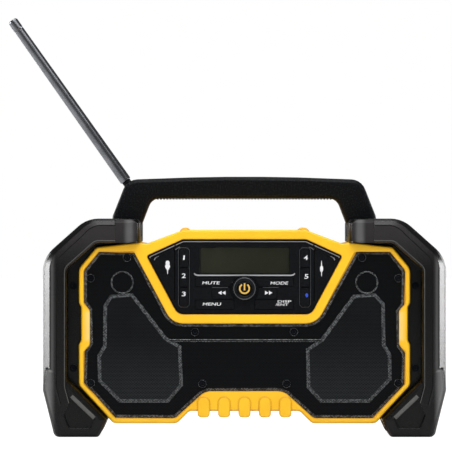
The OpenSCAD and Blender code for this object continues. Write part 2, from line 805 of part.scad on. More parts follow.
audio_body_r = 4;
module audio_socket() color(black) {
    difference() {
        rod_y(port_at[0], port_at[1], audio_body_r, usb_front, usb_front + 17);
        rod_y(port_at[0], port_at[1], audio_r, usb_front - overcut, usb_front + 14);
    }
}

// ---- bumper rails, bridges and handle ----

rail_bend = [22, 22, 26];
rail_line = [[seam_x, arm_z], [rail_x - shoulder_run, arm_z], [rail_x, arm_z - shoulder_drop],
    [rail_x, knee_z], [rail_x - 5.4, 36]];

function bend_radius(i) = rail_bend[i - 1];
rail_path = concat([rail_line[0]],
    [for (i = [1:3]) each corner_arc(rail_line[i - 1], rail_line[i], rail_line[i + 1], bend_radius(i))],
    [rail_line[4]]);

// The line moved outwards by u, with mitred bends.
function beside(path, u) = [for (i = [0:len(path) - 1])
    let (e = i == 0 ? unit(path[1] - path[0]) : unit(path[i] - path[i - 1]),
        f = i == len(path) - 1 ? e : unit(path[i + 1] - path[i]))
    path[i] - (right_of(e) + right_of(f)) / (1 + e * f) * u];

half_rail = rail_w / 2;
// Section across a rail whose chamfer has the width b: [distance from the centre line, depth].
function rail_section(b) = [[-half_rail, 3.4], [-half_rail + 1.2, 0.8], [-half_rail + 3, 0],
    [half_rail - b, 0], [half_rail - b * 0.5, b * 0.22], [half_rail - 1.4 - b * 0.04, b * 0.62],
    [half_rail, b], [half_rail, rail_d - 4], [half_rail - 4, rail_d], [-half_rail + 4, rail_d],
    [-half_rail, rail_d - 4]];

// The chamfer widens round the two bends of the shoulder.
bend_points = 2 * (arc_steps + 1);
function bevel_at(i) = arm_bevel + (rail_bevel - arm_bevel) * max(0, min(1, (i - 1) / (bend_points - 1)));

foot_in = rail_x - 50;
foot_outline = [[rail_x + 0.5, 0, 7], [rails_w / 2, 54, 14], [rails_w / 2 - 2, 80, 4],
    [rails_w / 2 - rail_w + 2, 80, 4], [rails_w / 2 - rail_w - 1, 66, 8],
    [foot_in - 9.5, 20.5, 3], [foot_in, 0, 5]];
pocket_outline = [[rail_x - 16, foot_pocket_z, 3], [rail_x - 10, 26, 4], [rail_x - 20, 46, 3],
    [foot_in + 3.5, 22.5, 3], [foot_in + 9, foot_pocket_z, 3]];

// Front right rail. The others are its mirror images.
module rail() color(rubber) {
    difference() {
        union() {
            skinned([for (i = [0:len(rail_path) - 1])
                [for (s = rail_section(bevel_at(i)))
                    let (p = beside(rail_path, s[0])[i]) [p[0], rail_front + s[1], p[1]]]]);
            bevelled(foot_outline, [[rail_front + 1, 6], [rail_front + 3, 2.5], [rail_front + 7, 0.4],
                [rail_front + 10, 0], [rail_front + 58, 0], [rail_front + 62, 4]]);
            outline_slab(inset(foot_outline, 4.5), rail_front + 50, -fit / 2);
            rail_web();
        }
        outline_slab(pocket_outline, rail_front - overcut, rail_front + 1 + foot_pocket_d);
        outline_slab(inset(body_outline, -fit), rail_front, overcut);
        for (z = rail_screw_z) rod_y(ear_x, z, screw_r + fit, web_y - overcut, web_y + web_t + overcut);
    }
}

// Thin web between the bar and the body's side.
module rail_web() {
    inner = beside(rail_path, -half_rail + 5);
    slab(web_y, web_y + web_t) polygon(concat([[seam_x, inner[0][1]]],
        [for (i = [1:len(inner) - 1]) inner[i]],
        [[body_half - 30, 30], [body_half - 30, shoulder_z - 20], [seam_x, shoulder_z - 8]]));
}

module front_rail(side) mirror([side < 0 ? 1 : 0, 0, 0]) rail();
module rear_rail(side) mirror([0, 1, 0]) front_rail(side);

module rail_screws() color(steel) for (turn = [0, 1]) mirror([0, turn, 0]) on_both_sides()
    for (z = rail_screw_z) screw(ear_x, z, web_y, web_t + 11);

bridge_top_bevel = 5;
// Bridge with its saddle, which stands on the body's shoulder.
module bridge() color(rubber) {
    y = rails_d / 2;
    plan = [[bridge_in, -y, 11], [seam_x + 12, -y, 1], [seam_x + 12, y, 1], [bridge_in, y, 11]];
    high = rail_top;
    low = rail_top - rail_w;
    saddle_y = y - rail_d - 2;
    levels = [[high, 7], [high - 1, 3], [high - bridge_top_bevel, 0], [low + 2, 0], [low, 2]];
    difference() {
        union() {
            intersection() {
                skinned([for (l = levels) [for (p = rounded(inset(plan, l[1]))) [p[0], p[1], l[0]]]]);
                translate([bridge_in, -y, 0]) cube([seam_x - fit / 2 - bridge_in, 2 * y, rail_top + overcut]);
            }
            translate([bridge_in + 2.5, -saddle_y, shoulder_z - 2])
                cube([seam_x - fit / 2 - bridge_in - 2.5, 2 * saddle_y, low + 4 - shoulder_z]);
        }
        translate([bridge_in - overcut, -handle_d / 2 - fit, bridge_floor_z])
            cube([60, handle_d + 2 * fit, 60]);
        for (side = [-1, 1]) translate([handle_bolt_x, side * handle_bolt_y, 0])
            cylinder(r = bolt_r + fit, h = rail_top + overcut);
        outline_slab(inset(body_outline, -fit), -rails_d, rails_d);
    }
}

// Arch of the handle, from the right foot round to the left one.
handle_crown = 3;
handle_side = [[leg_out, bridge_floor_z + 0.1, 2], [leg_out + 1.5, rail_top + 2, 12],
    [leg_out - 15.5, handle_top - handle_crown, 18]];
handle_inner = [[leg_in - 12.4, bar_low, 13], [leg_in, rail_top - 9, 22], [leg_in, bridge_floor_z + 0.1, 2]];
arch_outline = concat(handle_side, [[0, handle_top + handle_crown - 0.4, 2500]],
    [for (i = [2:-1:0]) [-handle_side[i][0], handle_side[i][1], handle_side[i][2]]],
    [for (i = [2:-1:0]) [-handle_inner[i][0], handle_inner[i][1], handle_inner[i][2]]], handle_inner);

// The arch's flat ends: strips between its outer and inner points, and the middle of the bar.
arc_points = arc_steps + 1;
arch_points = arc_points * len(arch_outline);
outer_end = arc_points * len(handle_side) - 1;
inner_end = arch_points - 2 - outer_end;
arch_cap = concat(
    [for (k = [0:outer_end - 1]) [k, k + 1, arch_points - 2 - k, arch_points - 1 - k]],
    [for (k = [0:outer_end - 1])
        let (a = outer_end + arc_points + 1 + k, b = inner_end - k) [a, a + 1, b - 1, b]],
    [concat([for (k = [outer_end:outer_end + arc_points + 1]) k], [inner_end, inner_end + 1])]);

module handle_front() color(black) {
    y = handle_d / 2;
    difference() {
        bevelled(arch_outline, [[-y, 4], [-y + 1.2, 1.4], [-y + 4, 0], [-fit / 2, 0]], arch_cap);
        grip_seat();
        on_both_sides() handle_bolt_seat(-1);
        rod_y(aerial_x, aerial_z, aerial_pin_r + 0.1, -6, 0);
        for (at = handle_screw_at) rod_y(at[0], at[1], screw_r + 0.1, -10, 0);
    }
}

handle_screw_at = [[12 - leg_out, 262], [leg_out - 12, 262], [leg_out - 33, handle_top - 12],
    [55 - leg_out, handle_top - 10], [20, handle_top - 10]];
module handle_rear() color(black) {
    y = handle_d / 2;
    difference() {
        union() {
            bevelled(arch_outline, [[fit / 2, 0], [y - 4, 0], [y - 1.2, 1.4], [y, 4]], arch_cap);
            cradle();
        }
        grip_seat();
        on_both_sides() handle_bolt_seat(1);
        rod_y(aerial_x, aerial_z, aerial_pin_r + 0.1, -overcut, y + overcut);
        for (at = handle_screw_at) {
            rod_y(at[0], at[1], screw_r + 0.1, -overcut, y + overcut);
            rod_y(at[0], at[1], head_r + fit, y - head_h - 1, y + overcut);
        }
    }
}

// Open cradle behind the bar, which the folded aerial lies in.
module cradle() {
    floor_z = aerial_z - aerial_foot_r - 0.3;
    reach = hub_back + 3.4 - handle_d / 2;
    difference() {
        translate([cradle_x, handle_d / 2 - 5, floor_z - 3]) cube([12, reach + 5, aerial_foot_r + 3 + 5]);
        translate([cradle_x - overcut, handle_d / 2 + 0.1, floor_z])
            cube([14, hub_back + 0.4 - handle_d / 2, 30]);
    }
}

grip_half = bridge_in - 17;
grip_y = handle_d / 2 - 4.5;
grip_inside = 6;
module grip_seat() {
    translate([-grip_half - fit, -grip_y - fit, bar_low - overcut])
        cube([2 * (grip_half + fit), 2 * (grip_y + fit), grip_inside + overcut + fit]);
}

// Toothed soft insert under the bar.
module handle_grip() color(rubber) {
    pitch = 2 * grip_half / tooth_count;
    low = bar_low - grip_drop;
    root = bar_low - 0.1;
    slab(-grip_y, grip_y) polygon(concat([[-grip_half, bar_low + grip_inside], [-grip_half, root]],
        [for (k = [0:tooth_count - 1]) each [[-grip_half + (k + 0.15) * pitch, root],
            [-grip_half + (k + 0.35) * pitch, low], [-grip_half + (k + 0.65) * pitch, low],
            [-grip_half + (k + 0.85) * pitch, root]]],
        [[grip_half, root], [grip_half, bar_low + grip_inside]]));
}

module handle_bolt_seat(side) {
    translate([handle_bolt_x, side * handle_bolt_y, bridge_floor_z - 20])
        cylinder(r = bolt_r + 0.1, h = 20 + bolt_bite);
}

bolt_bite = 20;
module handle_bolts() color(steel) on_both_sides() for (side = [-1, 1])
    translate([handle_bolt_x, side * handle_bolt_y, 0]) {
        translate([0, 0, bolt_seat_z - 4]) cylinder(r = bolt_r + 2, h = 4);
        translate([0, 0, bolt_seat_z - 1])
            cylinder(r = bolt_r, h = bridge_floor_z + bolt_bite - 1 - bolt_seat_z);
    }

module handle_screws() color(steel) for (at = handle_screw_at) mirror([0, 1, 0])
    screw(at[0], at[1], -handle_d / 2 + 1 + head_h, handle_d / 2 + 4);

// ---- aerial ----

// Places its children along the aerial, with +Z pointing to the tip.
module along_aerial() {
    translate([aerial_x, aerial_y, aerial_z]) rotate([0, -aerial_lean, 0]) children();
}

ferrule_z = 13;
cap_len = 14;
module aerial_mast() color(rubber) along_aerial() {
    translate([0, 0, ferrule_z])
        cylinder(r1 = aerial_foot_r, r2 = aerial_tip_r, h = aerial_len - ferrule_z - cap_len);
}

module aerial_hub() color(black) {
    difference() {
        union() {
            rod_y(aerial_x, aerial_z, hub_r, hub_front, hub_back);
            along_aerial() cylinder(r = aerial_foot_r - 1.4, h = ferrule_z);
        }
        rod_y(aerial_x, aerial_z, aerial_pin_r + 0.06, hub_front - overcut, hub_back + overcut);
    }
}

module aerial_cap() color(rubber) along_aerial() translate([0, 0, aerial_len - cap_len]) rotate_extrude()
    polygon([[0, 0], [aerial_tip_r - 0.3, 0], [aerial_tip_r - 0.3, 0.8], [aerial_tip_r + 0.2, 1.2],
        [aerial_tip_r + 0.2, cap_len - 2], [aerial_tip_r - 1.4, cap_len], [0, cap_len]]);

module aerial_screw() color(steel) {
    rod_y(aerial_x, aerial_z, aerial_pin_r, -5, hub_back + 1);
    rod_y(aerial_x, aerial_z, aerial_pin_r + 2.6, hub_back + 0.3, hub_back + 3);
}

// ---- battery bay ----

// Knuckles of the door's hinge, numbered from below.
module lid_knuckles(list) {
    pitch = (lid_h - 8) / 5;
    for (k = list) difference() {
        union() {
            translate([lid_axis[0], lid_axis[1], lid_z - lid_h / 2 + 4 + k * pitch + fit])
                cylinder(r = knuckle_r, h = pitch - 2 * fit);
            translate([lid_axis[0] - (k % 2 == 0 ? 9 : 0), lid_axis[1] - knuckle_r + 1.6,
                lid_z - lid_h / 2 + 4 + k * pitch + fit])
                cube([9, 3.2, pitch - 2 * fit]);
        }
        translate([lid_axis[0], lid_axis[1], 0]) cylinder(r = lid_pin_r + 0.08, h = body_top);
    }
}

module battery_door() color(black) {
    difference() {
        union() {
            translate([-lid_w / 2, lid_front, lid_z - lid_h / 2]) cube([lid_w, lid_t, lid_h]);
            lid_knuckles([1, 3]);
            for (z = [-1, 0, 1]) translate([-lid_w / 2 + 18, body_back - 0.5, lid_z + z * lid_h / 4 - 3])
                cube([lid_w - 50, 2, 6]);
        }
        translate([lid_w / 2 - 14, lid_front - overcut, lid_z - 14])
            cube([14 + overcut, lid_t + 2 * overcut, 28]);
    }
}

// Sprung catch at the door's free edge, and its slot in the housing.
module door_catch() color(rubber) {
    translate([lid_w / 2 - 13.7, lid_front + 0.4, lid_z - 13.4]) cube([13.4, lid_t - 0.4, 26.8]);
    translate([lid_w / 2 - 5, lid_front + 0.4, lid_z - 8]) cube([9, 1.8, 16]);
    translate([lid_w / 2 - 10, body_back - 0.2, lid_z - 9]) cube([5, 2.6, 18]);
}

module catch_slot() {
    translate([lid_w / 2 - 1, lid_front, lid_z - 9]) cube([6, 2.6, 18]);
}

module door_hinge_pin() color(steel) translate([lid_axis[0], lid_axis[1], lid_z - lid_h / 2 + 4])
    cylinder(r = lid_pin_r, h = lid_h - 8);

dock_x = 26;
module battery_rails() color(black) on_both_sides() difference() {
    union() {
        translate([dock_x, bay_floor_y, bay_z + 16]) cube([8, 18, bay_h - 34]);
        translate([dock_x - 7, bay_floor_y + 11, bay_z + 16]) cube([14, 7, bay_h - 34]);
    }
    for (z = [28, bay_h - 30])
        rod_y(dock_x + 4, bay_z + z, screw_r + 0.1, bay_floor_y - overcut, bay_floor_y + 8);
}

module dock_screw_holes() {
    on_both_sides() for (z = [28, bay_h - 30])
        rod_y(dock_x + 4, bay_z + z, screw_r + 0.1, bay_floor_y - wall - overcut, bay_floor_y + overcut);
}

module terminal_block() color(black) {
    translate([-16, bay_floor_y, bay_z + bay_h - 40]) cube([32, 12, 24]);
    color(steel) for (k = [-1.5:1:1.5])
        translate([k * 7 - 0.4, bay_floor_y + 3, bay_z + bay_h - 60]) cube([0.8, 7, 20]);
}

inlet_r = 6;
module power_inlet() color(black) {
    difference() {
        rod_y(inlet_at[0], inlet_at[1], inlet_r, body_back - 20, body_back - 0.5);
        rod_y(inlet_at[0], inlet_at[1], 2.9, body_back - 10, body_back + overcut);
    }
    rod_y(inlet_at[0], inlet_at[1], 1, body_back - 11, body_back - 1.5);
}

front_housing();
rear_housing();
housing_seal();
speaker_grille();
speaker_baffle();
mirror([1, 0, 0]) woofer_basket();  // left_woofer_basket
woofer_basket();  // right_woofer_basket
woofer_cones();
woofer_magnets();
mirror([1, 0, 0]) tweeter();  // left_tweeter
tweeter();  // right_tweeter
grille_screws();
control_panel();
display_window();
display_module();
key_mat();
control_board();
volume_encoder();
volume_knob();
power_button();
preset_key(1);  // preset_key_1
preset_key(2);  // preset_key_2
preset_key(3);  // preset_key_3
preset_key(4);  // preset_key_4
preset_key(5);  // preset_key_5
preset_key(6);  // preset_key_6
key(1, -1);  // seek_back_key
key(1, 1);  // seek_forward_key
key(0, -1);  // mute_key
key(2, -1);  // menu_key
key(0, 1);  // mode_key
key(2, 1);  // enter_key
port_door(-1);  // left_port_door
port_door(1);  // right_port_door
usb_socket();
audio_socket();
main_board();
front_rail(-1);  // front_left_rail
front_rail(1);  // front_right_rail
rear_rail(-1);  // rear_left_rail
rear_rail(1);  // rear_right_rail
rail_screws();
mirror([1, 0, 0]) bridge();  // left_bridge
bridge();  // right_bridge
handle_front();
handle_rear();
handle_grip();
handle_bolts();
handle_screws();
aerial_mast();
aerial_hub();
aerial_cap();
aerial_screw();
battery_door();
door_catch();
door_hinge_pin();
battery_rails();
terminal_block();
power_inlet();
housing_screws();
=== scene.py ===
import json
import math

import bmesh
import bpy
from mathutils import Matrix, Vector

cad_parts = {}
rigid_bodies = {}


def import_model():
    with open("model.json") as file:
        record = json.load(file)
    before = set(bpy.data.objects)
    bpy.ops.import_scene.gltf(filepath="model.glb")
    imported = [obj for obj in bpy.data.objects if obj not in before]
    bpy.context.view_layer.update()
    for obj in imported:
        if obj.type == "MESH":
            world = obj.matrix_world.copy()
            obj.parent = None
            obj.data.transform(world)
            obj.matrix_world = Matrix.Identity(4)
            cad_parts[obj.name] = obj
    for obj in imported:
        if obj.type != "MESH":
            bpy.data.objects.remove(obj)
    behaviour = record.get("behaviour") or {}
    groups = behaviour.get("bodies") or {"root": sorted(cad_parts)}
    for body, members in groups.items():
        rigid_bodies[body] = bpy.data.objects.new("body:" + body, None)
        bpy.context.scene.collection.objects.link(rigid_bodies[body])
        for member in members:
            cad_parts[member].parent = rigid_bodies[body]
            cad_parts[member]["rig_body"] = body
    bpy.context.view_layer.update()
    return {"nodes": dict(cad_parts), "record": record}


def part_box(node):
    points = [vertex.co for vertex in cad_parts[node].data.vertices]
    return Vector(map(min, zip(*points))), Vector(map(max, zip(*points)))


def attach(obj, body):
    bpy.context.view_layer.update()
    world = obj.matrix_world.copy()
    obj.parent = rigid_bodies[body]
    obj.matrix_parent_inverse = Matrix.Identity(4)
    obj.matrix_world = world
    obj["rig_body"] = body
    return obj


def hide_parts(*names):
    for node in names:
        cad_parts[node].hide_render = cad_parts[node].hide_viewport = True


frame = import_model()
nodes = frame["nodes"]
slots = {row["node"]: row["material_slot"] for row in frame["record"]["subparts"]}

MM = 0.001

# ---- camera: straight on, from far away ----

PICTURE_WIDTH = 515.3 * MM
PICTURE_MIDDLE = (-21.1 * MM, 240.5 * MM)
FRONT_FACE = -84 * MM
CAMERA_AWAY = 5.0
FAR_END = 50.0
SENSOR = 36.0

camera_data = bpy.data.cameras.new("camera")
camera_data.sensor_width = SENSOR
camera_data.lens = SENSOR * CAMERA_AWAY / PICTURE_WIDTH
camera_data.clip_end = FAR_END
camera = bpy.data.objects.new("camera", camera_data)
bpy.context.scene.collection.objects.link(camera)
camera.location = (PICTURE_MIDDLE[0], FRONT_FACE - CAMERA_AWAY, PICTURE_MIDDLE[1])
camera.rotation_euler = (math.radians(90), 0, 0)
bpy.context.scene.camera = camera
bpy.context.scene.view_settings.view_transform = "Standard"


# ---- shader expressions ----

def rgb(code):
    """A screen colour such as FFC81E as the linear numbers that a shader takes."""
    values = [int(code[i:i + 2], 16) / 255 for i in (0, 2, 4)]
    linear = [v / 12.92 if v <= 0.04045 else ((v + 0.055) / 1.055) ** 2.4 for v in values]
    return tuple(linear) + (1.0,)


class Amount:
    """A number that changes over a surface. Arithmetic on it adds Math nodes."""

    def __init__(self, finish, socket):
        self.finish = finish
        self.socket = socket

    def math(self, operation, *others):
        inputs = dict(enumerate((self,) + others))
        node = self.finish.node("ShaderNodeMath", {"operation": operation}, inputs)
        return Amount(self.finish, node.outputs[0])

    def turned_round(self, operation, first):
        """The operation with this amount as its second number."""
        node = self.finish.node("ShaderNodeMath", {"operation": operation}, {0: first, 1: self})
        return Amount(self.finish, node.outputs[0])

    def __add__(self, other):
        return self.math("ADD", other)

    def __radd__(self, other):
        return self.math("ADD", other)

    def __sub__(self, other):
        return self.math("SUBTRACT", other)

    def __rsub__(self, other):
        return self.turned_round("SUBTRACT", other)

    def __mul__(self, other):
        return self.math("MULTIPLY", other)

    def __rmul__(self, other):
        return self.math("MULTIPLY", other)

    def __truediv__(self, other):
        return self.math("DIVIDE", other)

    def between(self, low, high):
        """0 below low, 1 above high and a smooth step between them."""
        node = self.finish.node("ShaderNodeMapRange", {"interpolation_type": "SMOOTHSTEP"},
                                {0: self, 1: low, 2: high})
        return Amount(self.finish, node.outputs[0])


class Nodes:
    """The node tree of a material or of the world."""

    def __init__(self, owner):
        owner.use_nodes = True
        self.tree = owner.node_tree
        self.tree.nodes.clear()

    def node(self, kind, settings, inputs):
        made = self.tree.nodes.new(kind)
        for key, value in settings.items():
            setattr(made, key, value)
        for key, value in inputs.items():
            self.feed(made.inputs[key], value)
        return made

    def feed(self, socket, value):
        if isinstance(value, Amount):
            value = value.socket
        if isinstance(value, bpy.types.NodeSocket):
            self.tree.links.new(value, socket)
        else:
            socket.default_value = value


class Finish(Nodes):
    """One procedural finish, built round a Principled shader."""

    def __init__(self, name, **constants):
        self.material = bpy.data.materials.new(name)
        super().__init__(self.material)
        self.shader = self.node("ShaderNodeBsdfPrincipled", {}, {})
        output = self.node("ShaderNodeOutputMaterial", {}, {})
        self.tree.links.new(self.shader.outputs[0], output.inputs[0])
        for key, value in constants.items():
            self.shader.inputs[key.replace("_", " ")].default_value = value
        self.place = self.node("ShaderNodeTexCoord", {}, {}).outputs["Object"]
        self.rounded = None

    def noise(self, size, detail=3.0, stretch=(1, 1, 1)):
        """Cloudy pattern with features of about that size."""
        placed = self.node("ShaderNodeMapping", {}, {"Vector": self.place, "Scale": stretch})
        made = self.node("ShaderNodeTexNoise", {}, {"Vector": placed.outputs[0], "Scale": 1 / size,
                                                    "Detail": detail, "Roughness": 0.55})
        return Amount(self, made.outputs["Fac"])

    def axes(self):
        """The places across, deep and up."""
        parts = self.node("ShaderNodeSeparateXYZ", {}, {0: self.place})
        return [Amount(self, socket) for socket in parts.outputs]

    def blend(self, amount, first, second):
        """The first colour where the amount is 0 and the second where it is 1."""
        made = self.node("ShaderNodeMix", {"data_type": "RGBA"}, {})
        self.feed(made.inputs[0], amount)
        self.feed(made.inputs[6], first)
        self.feed(made.inputs[7], second)
        return made.outputs[2]

    def edges(self, radius):
        """1 on edges, 0 on open surface. It also rounds the edges' shading."""
        self.rounded = self.node("ShaderNodeBevel", {"samples": 6}, {"Radius": radius}).outputs[0]
        flat = self.node("ShaderNodeNewGeometry", {}, {}).outputs["Normal"]
        dot = self.node("ShaderNodeVectorMath", {"operation": "DOT_PRODUCT"}, {0: self.rounded, 1: flat})
        return (1 - Amount(self, dot.outputs["Value"])).between(0.02, 0.3)

    def rubbed(self, radius):
        """1 in patches along the edges."""
        return self.edges(radius) * self.noise(6 * MM).between(0.35, 0.7)

    def slope(self):
        """0 where the surface faces the front or the back, 1 where it faces sideways, up or down."""
        faced = self.node("ShaderNodeNewGeometry", {}, {}).outputs["Normal"]
        parts = self.node("ShaderNodeSeparateXYZ", {}, {0: faced})
        return 1 - Amount(self, parts.outputs["Y"]).math("ABSOLUTE")

    def corners(self, reach):
        """1 deep in inner corners, 0 in the open."""
        seen = self.node("ShaderNodeAmbientOcclusion", {"samples": 6}, {"Distance": reach})
        return (1 - Amount(self, seen.outputs["AO"])).between(0.25, 0.85)

    def bump(self, height, depth, strength=1.0):
        inputs = {"Height": height, "Distance": depth, "Strength": strength}
        if self.rounded is not None:
            inputs["Normal"] = self.rounded
        made = self.node("ShaderNodeBump", {}, inputs)
        self.rounded = made.outputs[0]

    def grained(self, size, depth):
        """Fine grain of that size pressed into the surface."""
        self.bump(self.noise(size, 2.0), depth)

    def done(self, colour, roughness, **others):
        self.feed(self.shader.inputs["Base Color"], colour)
        self.feed(self.shader.inputs["Roughness"], roughness)
        for key, value in others.items():
            self.feed(self.shader.inputs[key.replace("_", " ")], value)
        if self.rounded is not None:
            self.feed(self.shader.inputs["Normal"], self.rounded)
        return self.material


# ---- finishes ----

CLOUD = 50 * MM
FINE_GRAIN = 0.4 * MM
FINE_DEPTH = 0.02 * MM
POLISHED_DEPTH = 0.01 * MM


def moulded(name, colour, light, dark, roughness, soft_edge, specular=0.5,
            grain=FINE_GRAIN, depth=FINE_DEPTH):
    """Moulded plastic or rubber with a spark-eroded grain, faint flow clouds and rubbed edges."""
    finish = Finish(name, Specular_IOR_Level=specular)
    clouds = finish.noise(CLOUD, 4.0)
    speckle = finish.noise(grain * 2.5, 2.0)
    worn = finish.rubbed(soft_edge) * 0.4
    base = finish.blend(clouds.between(0.3, 0.7), rgb(colour), rgb(dark))
    base = finish.blend(speckle.between(0.45, 0.75) * 0.35, base, rgb(light))
    base = finish.blend(worn, base, rgb(light))
    finish.grained(grain, depth)
    return finish.done(base, roughness + clouds * 0.08 + speckle * 0.06 - worn * 0.1)


def yellow_moulding():
    """Glossy yellow plastic, with painted shade in orange on its rolled edges and in its corners, and a pale
    painted highlight in the side notches.
    """
    finish = Finish("yellow_plastic", Specular_IOR_Level=0.4)
    clouds = finish.noise(CLOUD, 4.0)
    speckle = finish.noise(1.2 * MM, 2.0)
    rolled = finish.edges(3 * MM)
    base = finish.blend(clouds.between(0.3, 0.7), rgb("FFC71C"), rgb("FDBE14"))
    base = finish.blend(speckle.between(0.45, 0.75) * 0.2, base, rgb("FFD447"))
    # Painted shade: orange on the rolled edges, where they turn away from the light.
    base = finish.blend(rolled * 0.9, base, rgb("CF861A"))
    across, deep, up = finish.axes()
    out = across.math("ABSOLUTE")
    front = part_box("front_housing")[0].y
    # Painted highlight: pale yellow on the front of the side notches, where they catch the light.
    notch_height = up.between(107 * MM, 113 * MM) * (1 - up.between(140 * MM, 146 * MM))
    notch_width = out.between(168 * MM, 172 * MM) * (1 - out.between(177 * MM, 185 * MM))
    notch_depth = 1 - deep.between(front + 10 * MM, front + 14 * MM)
    base = finish.blend(notch_height * notch_width * notch_depth * 0.6, base, rgb("F6DE98"))
    # Painted shade: orange-brown deep in the inner corners.
    base = finish.blend(finish.corners(6 * MM) * 0.75, base, rgb("B06A12"))
    finish.grained(0.5 * MM, FINE_DEPTH)
    return finish.done(base, 0.32 + clouds * 0.08 + speckle * 0.05)


def rail_moulding(name, shine):
    """Charcoal rubber: black low down and grey on the shoulders as painted light from above, a painted
    highlight in a band by the bridges and on the front's outer rim, and painted shade in near black behind
    the faces."""
    finish = Finish(name, Specular_IOR_Level=shine)
    clouds = finish.noise(CLOUD, 4.0)
    speckle = finish.noise(1 * MM, 2.0)
    worn = finish.rubbed(1.4 * MM) * 0.2
    across, deep, up = finish.axes()
    out = across.math("ABSOLUTE")
    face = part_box("front_left_rail")[0].y
    # Painted light from above: the rubber turns from black to grey towards the shoulders.
    shoulder = up.between(185 * MM, 235 * MM)
    # Painted highlight: a grey band beside the bridges, high up.
    by_bridge = out.between(124 * MM, 130 * MM) * (1 - out.between(132 * MM, 139 * MM))
    lit_band = by_bridge * up.between(200 * MM, 210 * MM)
    # Painted highlight: grey along the front's outer rim.
    rim = out.between(214.5 * MM, 223.5 * MM) * (1 - deep.between(face + 6 * MM, face + 12 * MM))
    # Painted shade: near black behind the front and rear faces.
    on_face = deep.math("ABSOLUTE").between(-face - 3.5 * MM, -face - 2 * MM)
    base = finish.blend(shoulder, rgb("0A0A0A"), rgb("302E2F"))
    base = finish.blend(lit_band * 0.7, base, rgb("6A6A6B"))
    base = finish.blend(clouds.between(0.3, 0.7) * 0.3, base, rgb("121111"))
    base = finish.blend(speckle.between(0.45, 0.75) * 0.08, base, rgb("3A3938"))
    base = finish.blend(worn, base, rgb("4A4948"))
    base = finish.blend(rim * 0.7, base, rgb("787878"))
    base = finish.blend(on_face, rgb("060606"), base)
    finish.grained(FINE_GRAIN, FINE_DEPTH)
    return finish.done(base, 0.2 + clouds * 0.08 + speckle * 0.06)


def polished_tube():
    """Polished tube with faint smears."""
    finish = Finish("aerial_cover", Metallic=1.0)
    smears = finish.noise(20 * MM)
    base = finish.blend(smears.between(0.3, 0.7), rgb("7C7E82"), rgb("6A6C70"))
    finish.bump(smears, POLISHED_DEPTH)
    return finish.done(base, 0.2 + smears * 0.08)


def metal(name, colour, light, dark, roughness, brushed, soft_edge):
    """Turned or rolled metal: fine lines along the piece, dull patches and bright edges."""
    finish = Finish(name, Metallic=1.0)
    lines = finish.noise(0.6 * MM, 3.0, brushed)
    patches = finish.noise(12 * MM)
    worn = finish.edges(soft_edge)
    base = finish.blend(patches.between(0.3, 0.7), rgb(colour), rgb(dark))
    base = finish.blend(worn * 0.5, base, rgb(light))
    finish.bump(lines, FINE_DEPTH)
    return finish.done(base, roughness + lines * 0.12 + patches * 0.1)


def perforated_sheet(name, light, dark, rubbed):
    """Painted steel sheet with a fine triangular pattern of holes, lighter low down, with grey dots of
    painted highlight on its slopes."""
    pitch = 1.72 * MM
    rise = pitch * math.sqrt(3)
    finish = Finish(name, Specular_IOR_Level=0.08)
    across, _, up = finish.axes()

    def spread(shift):
        """The squared distance, in pitches, from the nearest hole of every second row."""
        x = (across / pitch + shift).math("FRACT") - 0.5
        z = ((up / rise + shift).math("FRACT") - 0.5) * math.sqrt(3)
        return x * x + z * z

    from_hole = spread(0.0).math("MINIMUM", spread(0.5)).math("SQRT")
    web = from_hole.between(0.35, 0.40)
    sloping = finish.slope().between(0.01, 0.07)
    clouds = finish.noise(40 * MM, 4.0)
    lower = 1 - up.between(40 * MM, 130 * MM)
    paint = finish.blend(lower * 0.7 + clouds * 0.3, rgb(dark), rgb(light))
    dots = finish.noise(2.4 * MM, 0.0).between(0.38, 0.62)
    # Painted highlight: grey dots on the slopes, where the sheet turns to the light.
    paint = finish.blend(sloping * (dots * 0.7 + 0.3), paint, rgb(rubbed))
    colour = finish.blend(web, rgb("020303"), paint)
    finish.bump(web, 0.3 * MM, 0.6)
    finish.grained(0.5 * MM, FINE_DEPTH)
    return finish.done(colour, 0.85 - web * 0.45 + clouds * 0.06)


def display_glass():
    """Smoked clear window over the display."""
    finish = Finish("display_glass", Specular_IOR_Level=0.5, Alpha=0.22)
    smudges = finish.noise(12 * MM, 4.0)
    tint = finish.blend(smudges.between(0.4, 0.8), rgb("15170F"), rgb("1C1E16"))
    return finish.done(tint, smudges * 0.06 + 0.06)


def display_face():
    """Liquid crystal panel: an olive field with a faint cell pattern inside a black frame."""
    cell = 0.9 * MM
    finish = Finish("display_face", Specular_IOR_Level=0.3)
    across, _, up = finish.axes()
    shade = finish.noise(30 * MM)
    rows = (up / cell).math("FRACT").between(0.8, 0.95)
    columns = (across / cell).math("FRACT").between(0.8, 0.95)
    cells = rows.math("MAXIMUM", columns) * 0.25
    left_edge = across.between(-50 * MM, -49.4 * MM)
    right_edge = 1 - across.between(50.5 * MM, 51.1 * MM)
    low_edge = up.between(186.6 * MM, 187.2 * MM)
    high_edge = 1 - up.between(215.2 * MM, 216 * MM)
    field = left_edge * right_edge * low_edge * high_edge
    drift = across.between(-50 * MM, 50 * MM) * 0.7 + shade * 0.3
    olive = finish.blend(drift, rgb("3A3D2C"), rgb("2D301E"))
    olive = finish.blend(cells, olive, rgb("1F2116"))
    return finish.done(finish.blend(field, rgb("08090A"), olive), 0.35 + shade * 0.1)


def printed(name, colour, dull, painted_glow=0.0):
    """Printed ink: slightly uneven and matt, with a painted glow from emission where one is given."""
    finish = Finish(name, Specular_IOR_Level=0.3)
    spread = finish.noise(1.2 * MM)
    base = finish.blend(spread.between(0.3, 0.8), rgb(colour), rgb(dull))
    roughness = 0.5 + spread * 0.2
    finish.grained(FINE_GRAIN, POLISHED_DEPTH)
    # Painted glow: the ink emits light though it is no lamp.
    if painted_glow:
        finish.shader.inputs["Emission Strength"].default_value = painted_glow
        return finish.done(base, roughness, Emission_Color=base)
    return finish.done(base, roughness)


